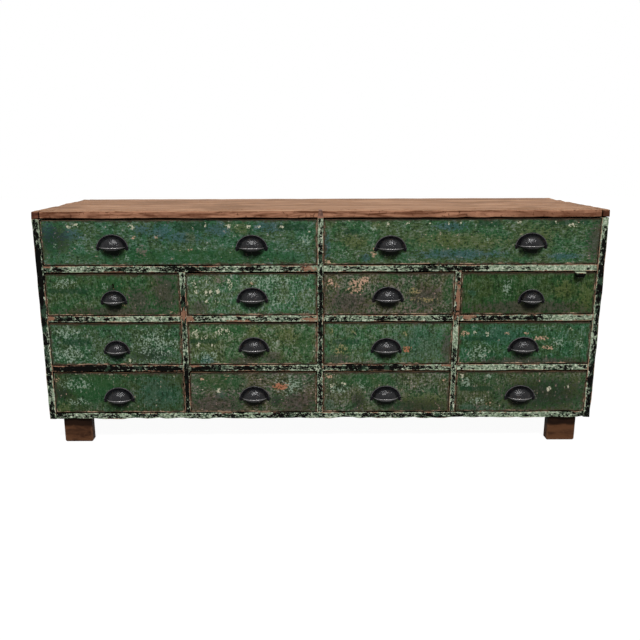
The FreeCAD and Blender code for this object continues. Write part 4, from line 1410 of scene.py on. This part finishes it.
def cup_pull(shell, x, y, z, width, height, hood_width, hood_height):
    """Add the casting of one pull; x, y, z is the middle of its mouth on the drawer's face."""
    half = hood_width / 2
    # Flange: a half-elliptical ring with a raised rim, from its outer edge to under the hood.
    rows = []
    for share, out in flange_section:
        across = (width / 2) * (1.0 - share) + (half - hood_wall) * share
        up = height * (1.0 - share) + (hood_height - hood_wall) * share
        rows.append([(x + across * math.cos(a), y - out, z + up * math.sin(a)) for a in angles])
    bright = [rim_bright if row in flange_rim else 0.0 for row in range(len(rows))]
    first = shell.grid(rows, bright, closed=True)
    for index in (0, arc_steps):
        shell.faces.append([first + row * (arc_steps + 1) + index for row in range(len(rows))])
    # Hood: an outer and an inner quarter of an ellipsoid, joined round the mouth.
    walls = []
    for inset in (0.0, hood_wall):
        rings = []
        for share, under in lip_under:
            across, out = half - inset - under, hood_reach - inset - under
            ring = []
            for a in angles:
                drop = lip_drop * math.sin(a) * (1.0 - share)
                ring.append((x + across * math.cos(a), y - out * math.sin(a), z + lip_rise * share - drop))
            rings.append(ring)
        for level in range(hood_levels + 1):
            rise = hood_top * level / hood_levels
            across = (half - inset) * math.cos(rise)
            out = (hood_reach - inset) * math.cos(rise)
            ring_z = z + lip_rise + (hood_height - lip_rise - inset) * math.sin(rise)
            rings.append([(x + across * math.cos(a), y - out * math.sin(a), ring_z) for a in angles])
        walls.append(rings)
    walls = walls[0][::-1] + walls[1]
    shell.grid(walls, [0.0] * len(walls))
    # Lip: a bead round the hood, above the turned-under edge of the mouth.
    across = half + lip_proud - lip_radius
    out = hood_reach + lip_proud - lip_radius
    path = [Vector((x + across * math.cos(a), y - out * math.sin(a), z + lip_rise)) for a in angles]
    bead = []
    for index, middle in enumerate(path):
        ahead = path[min(index + 1, arc_steps)] - path[max(index - 1, 0)]
        outward = ahead.cross(upward).normalized()
        ring = []
        for turn_index in range(bead_steps + 1):
            a = 2 * math.pi * turn_index / bead_steps
            ring.append(tuple(middle + (outward * math.cos(a) + upward * math.sin(a)) * lip_radius))
        bead.append(ring)
    shell.grid(bead, [lip_end_bright + lip_front_bright * math.sin(a) for a in angles])
    # Ears: rounded tabs at both lower corners, and a small boss at the crown of the flange.
    for side in (-1.0, 1.0):
        middle = Vector((x + side * (width - ear_width) / 2, y, z + ear_height / 2 - ear_drop))
        tab(shell, middle, ear_width, ear_height, ear_corner, flange_thickness)
    tab(shell, Vector((x, y, z + height - boss_drop)), **boss)


def tab(shell, middle, width, height, corner, thickness):
    """A rounded plate on the drawer's face, its front edge rounded over."""
    outline = []
    for quarter, (side_x, side_z) in enumerate(((1.0, 1.0), (-1.0, 1.0), (-1.0, -1.0), (1.0, -1.0))):
        for sixteenth in range(5):
            a = math.radians(90.0 * quarter + 22.5 * sixteenth)
            to_corner = (side_x * (width / 2 - corner), side_z * (height / 2 - corner))
            outline.append((*to_corner, math.cos(a), math.sin(a)))
    rings = []
    for inset, share in tab_edge:
        round_over = corner - inset
        ring = []
        for corner_x, corner_z, to_x, to_z in outline:
            ring_x = middle.x + corner_x + to_x * round_over
            ring.append((ring_x, middle.y - thickness * share, middle.z + corner_z + to_z * round_over))
        rings.append(ring + ring[:1])
    first = shell.grid(rings, [0.0] * len(rings)) + (len(rings) - 1) * (len(outline) + 1)
    shell.faces.append(list(range(first, first + len(outline))))


def finish_shell(shell, name, material):
    """The gathered corners and faces as one smooth closed piece."""
    mesh = bpy.data.meshes.new(name)
    mesh.from_pydata([tuple(corner) for corner in shell.points], [], shell.faces)
    layer = mesh.attributes.new("rubbed", "FLOAT", "POINT")
    layer.data.foreach_set("value", shell.rubbed)
    build = bmesh.new()
    build.from_mesh(mesh)
    bmesh.ops.remove_doubles(build, verts=build.verts, dist=casting_weld)
    bmesh.ops.recalc_face_normals(build, faces=build.faces)
    for face in build.faces:
        face.smooth = len(face.verts) < fewest_flat
    for edge in build.edges:
        edge.smooth = edge.calc_face_angle(0.0) < casting_sharp
    build.to_mesh(mesh)
    build.free()
    mesh.materials.append(material)
    return new_piece(name, mesh)


for drawer in drawer_names:
    kind, places = pull_places(drawer)
    face_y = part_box(drawer + "_front")[0].y
    shell = Shell()
    for x, z in places:
        cup_pull(shell, x, face_y, z, **pull_sizes[kind])
    pull = finish_shell(shell, "cast_cup_" + pull_nodes[drawer], black_iron)
    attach(pull, drawer)
    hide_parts(pull_nodes[drawer])

# Pull screws: round iron heads with a slot, one through each ear.
screw_head, given = new_tree("pull screws", {
    "Radius": ("Float", 0.0035),
    "Rise": ("Float", 0.0020),
    "Slot Width": ("Float", 0.0009),
    "Slot Depth": ("Float", 0.0010),
    "Seed": ("Int", 3),
    "Finish": ("Material", None),
})
ball_inputs = {"Segments": 14, "Rings": 8, "Radius": given["Radius"]}
ball = new_node(screw_head, "GeometryNodeMeshUVSphere", ball_inputs)[0]
flattened = joined(screw_head, {0: 1.0, 1: given["Rise"] / given["Radius"], 2: 1.0})
dome = new_node(screw_head, "GeometryNodeTransform", {"Geometry": ball, "Scale": flattened})[0]
blade_size = {0: given["Radius"] * 3.0, 1: given["Slot Depth"] * 2.0, 2: given["Slot Width"]}
blade = new_node(screw_head, "GeometryNodeMeshCube", {"Size": joined(screw_head, blade_size)})[0]
to_front = joined(screw_head, {1: given["Rise"] * -1.0})
blade = new_node(screw_head, "GeometryNodeTransform", {"Geometry": blade, "Translation": to_front})[0]
cut_inputs = {"Mesh 1": dome, "Mesh 2": blade}
slotted = new_node(screw_head, "GeometryNodeMeshBoolean", cut_inputs, operation="DIFFERENCE")[0]
turn_inputs = {0: Vector((0.0, 0.0, 0.0)), 1: Vector((0.0, 3.14159, 0.0)), "Seed": given["Seed"]}
turns = new_node(screw_head, "FunctionNodeRandomValue", turn_inputs, data_type="FLOAT_VECTOR")[0]
placed_inputs = {"Points": given["Geometry"], "Instance": slotted, "Rotation": turns}
end_tree(screw_head, given, new_node(screw_head, "GeometryNodeInstanceOnPoints", placed_inputs)[0])
for number, drawer in enumerate(drawer_names):
    kind, places = pull_places(drawer)
    seat_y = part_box(drawer + "_front")[0].y - flange_thickness
    offset = (pull_sizes[kind]["width"] - ear_width) / 2
    rise = ear_height / 2 - ear_drop
    seats = [(x + side * offset, seat_y, z + rise) for x, z in places for side in (-1.0, 1.0)]
    screws = grow("pull_screws_" + drawer, screw_head, {"Seed": number, "Finish": black_iron}, seats)
    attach(screws, drawer)

# ==== Finger block: a small tapered pine block glued to the front of one drawer, painted like the rails; its front is left nearly black under a mint top, as painted shade.
block_low, block_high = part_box("finger_block")
block_foot_share = 22.0 / 36.0
block_slope = 0.006
block_arris = 0.0014
block_slice = 0.006
block_rub = 0.0012
# Painted shade: the paint holds only along the top, so the front stays nearly black.
block_covers = (-0.50, 0.0, 0.0)
block_painted = 0.9
block_middle = (block_low.x + block_high.x) / 2
block_marks = [(block_middle, block_high.z, 0.10, 0.012, 0.80)]
block_stretch = Vector((1.0, 1.0, 1.0))
block_paint = frame_paint(
    "block paint", block_stretch, block_covers, block_marks, block_painted, level_faces=mint
)
block = timber(
    "painted_finger_block", [(block_low, block_high)], block_arris, block_slice, block_rub, block_paint
)
for vertex in block.data.vertices:
    drop = (block_high.z - vertex.co.z) / (block_high.z - block_low.z)
    forward = (block_high.y - vertex.co.y) / (block_high.y - block_low.y)
    vertex.co.x = block_middle + (vertex.co.x - block_middle) * (1.0 + (block_foot_share - 1.0) * drop)
    vertex.co.y += block_slope * drop * forward
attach(block, "drawer_2d")
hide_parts("finger_block")
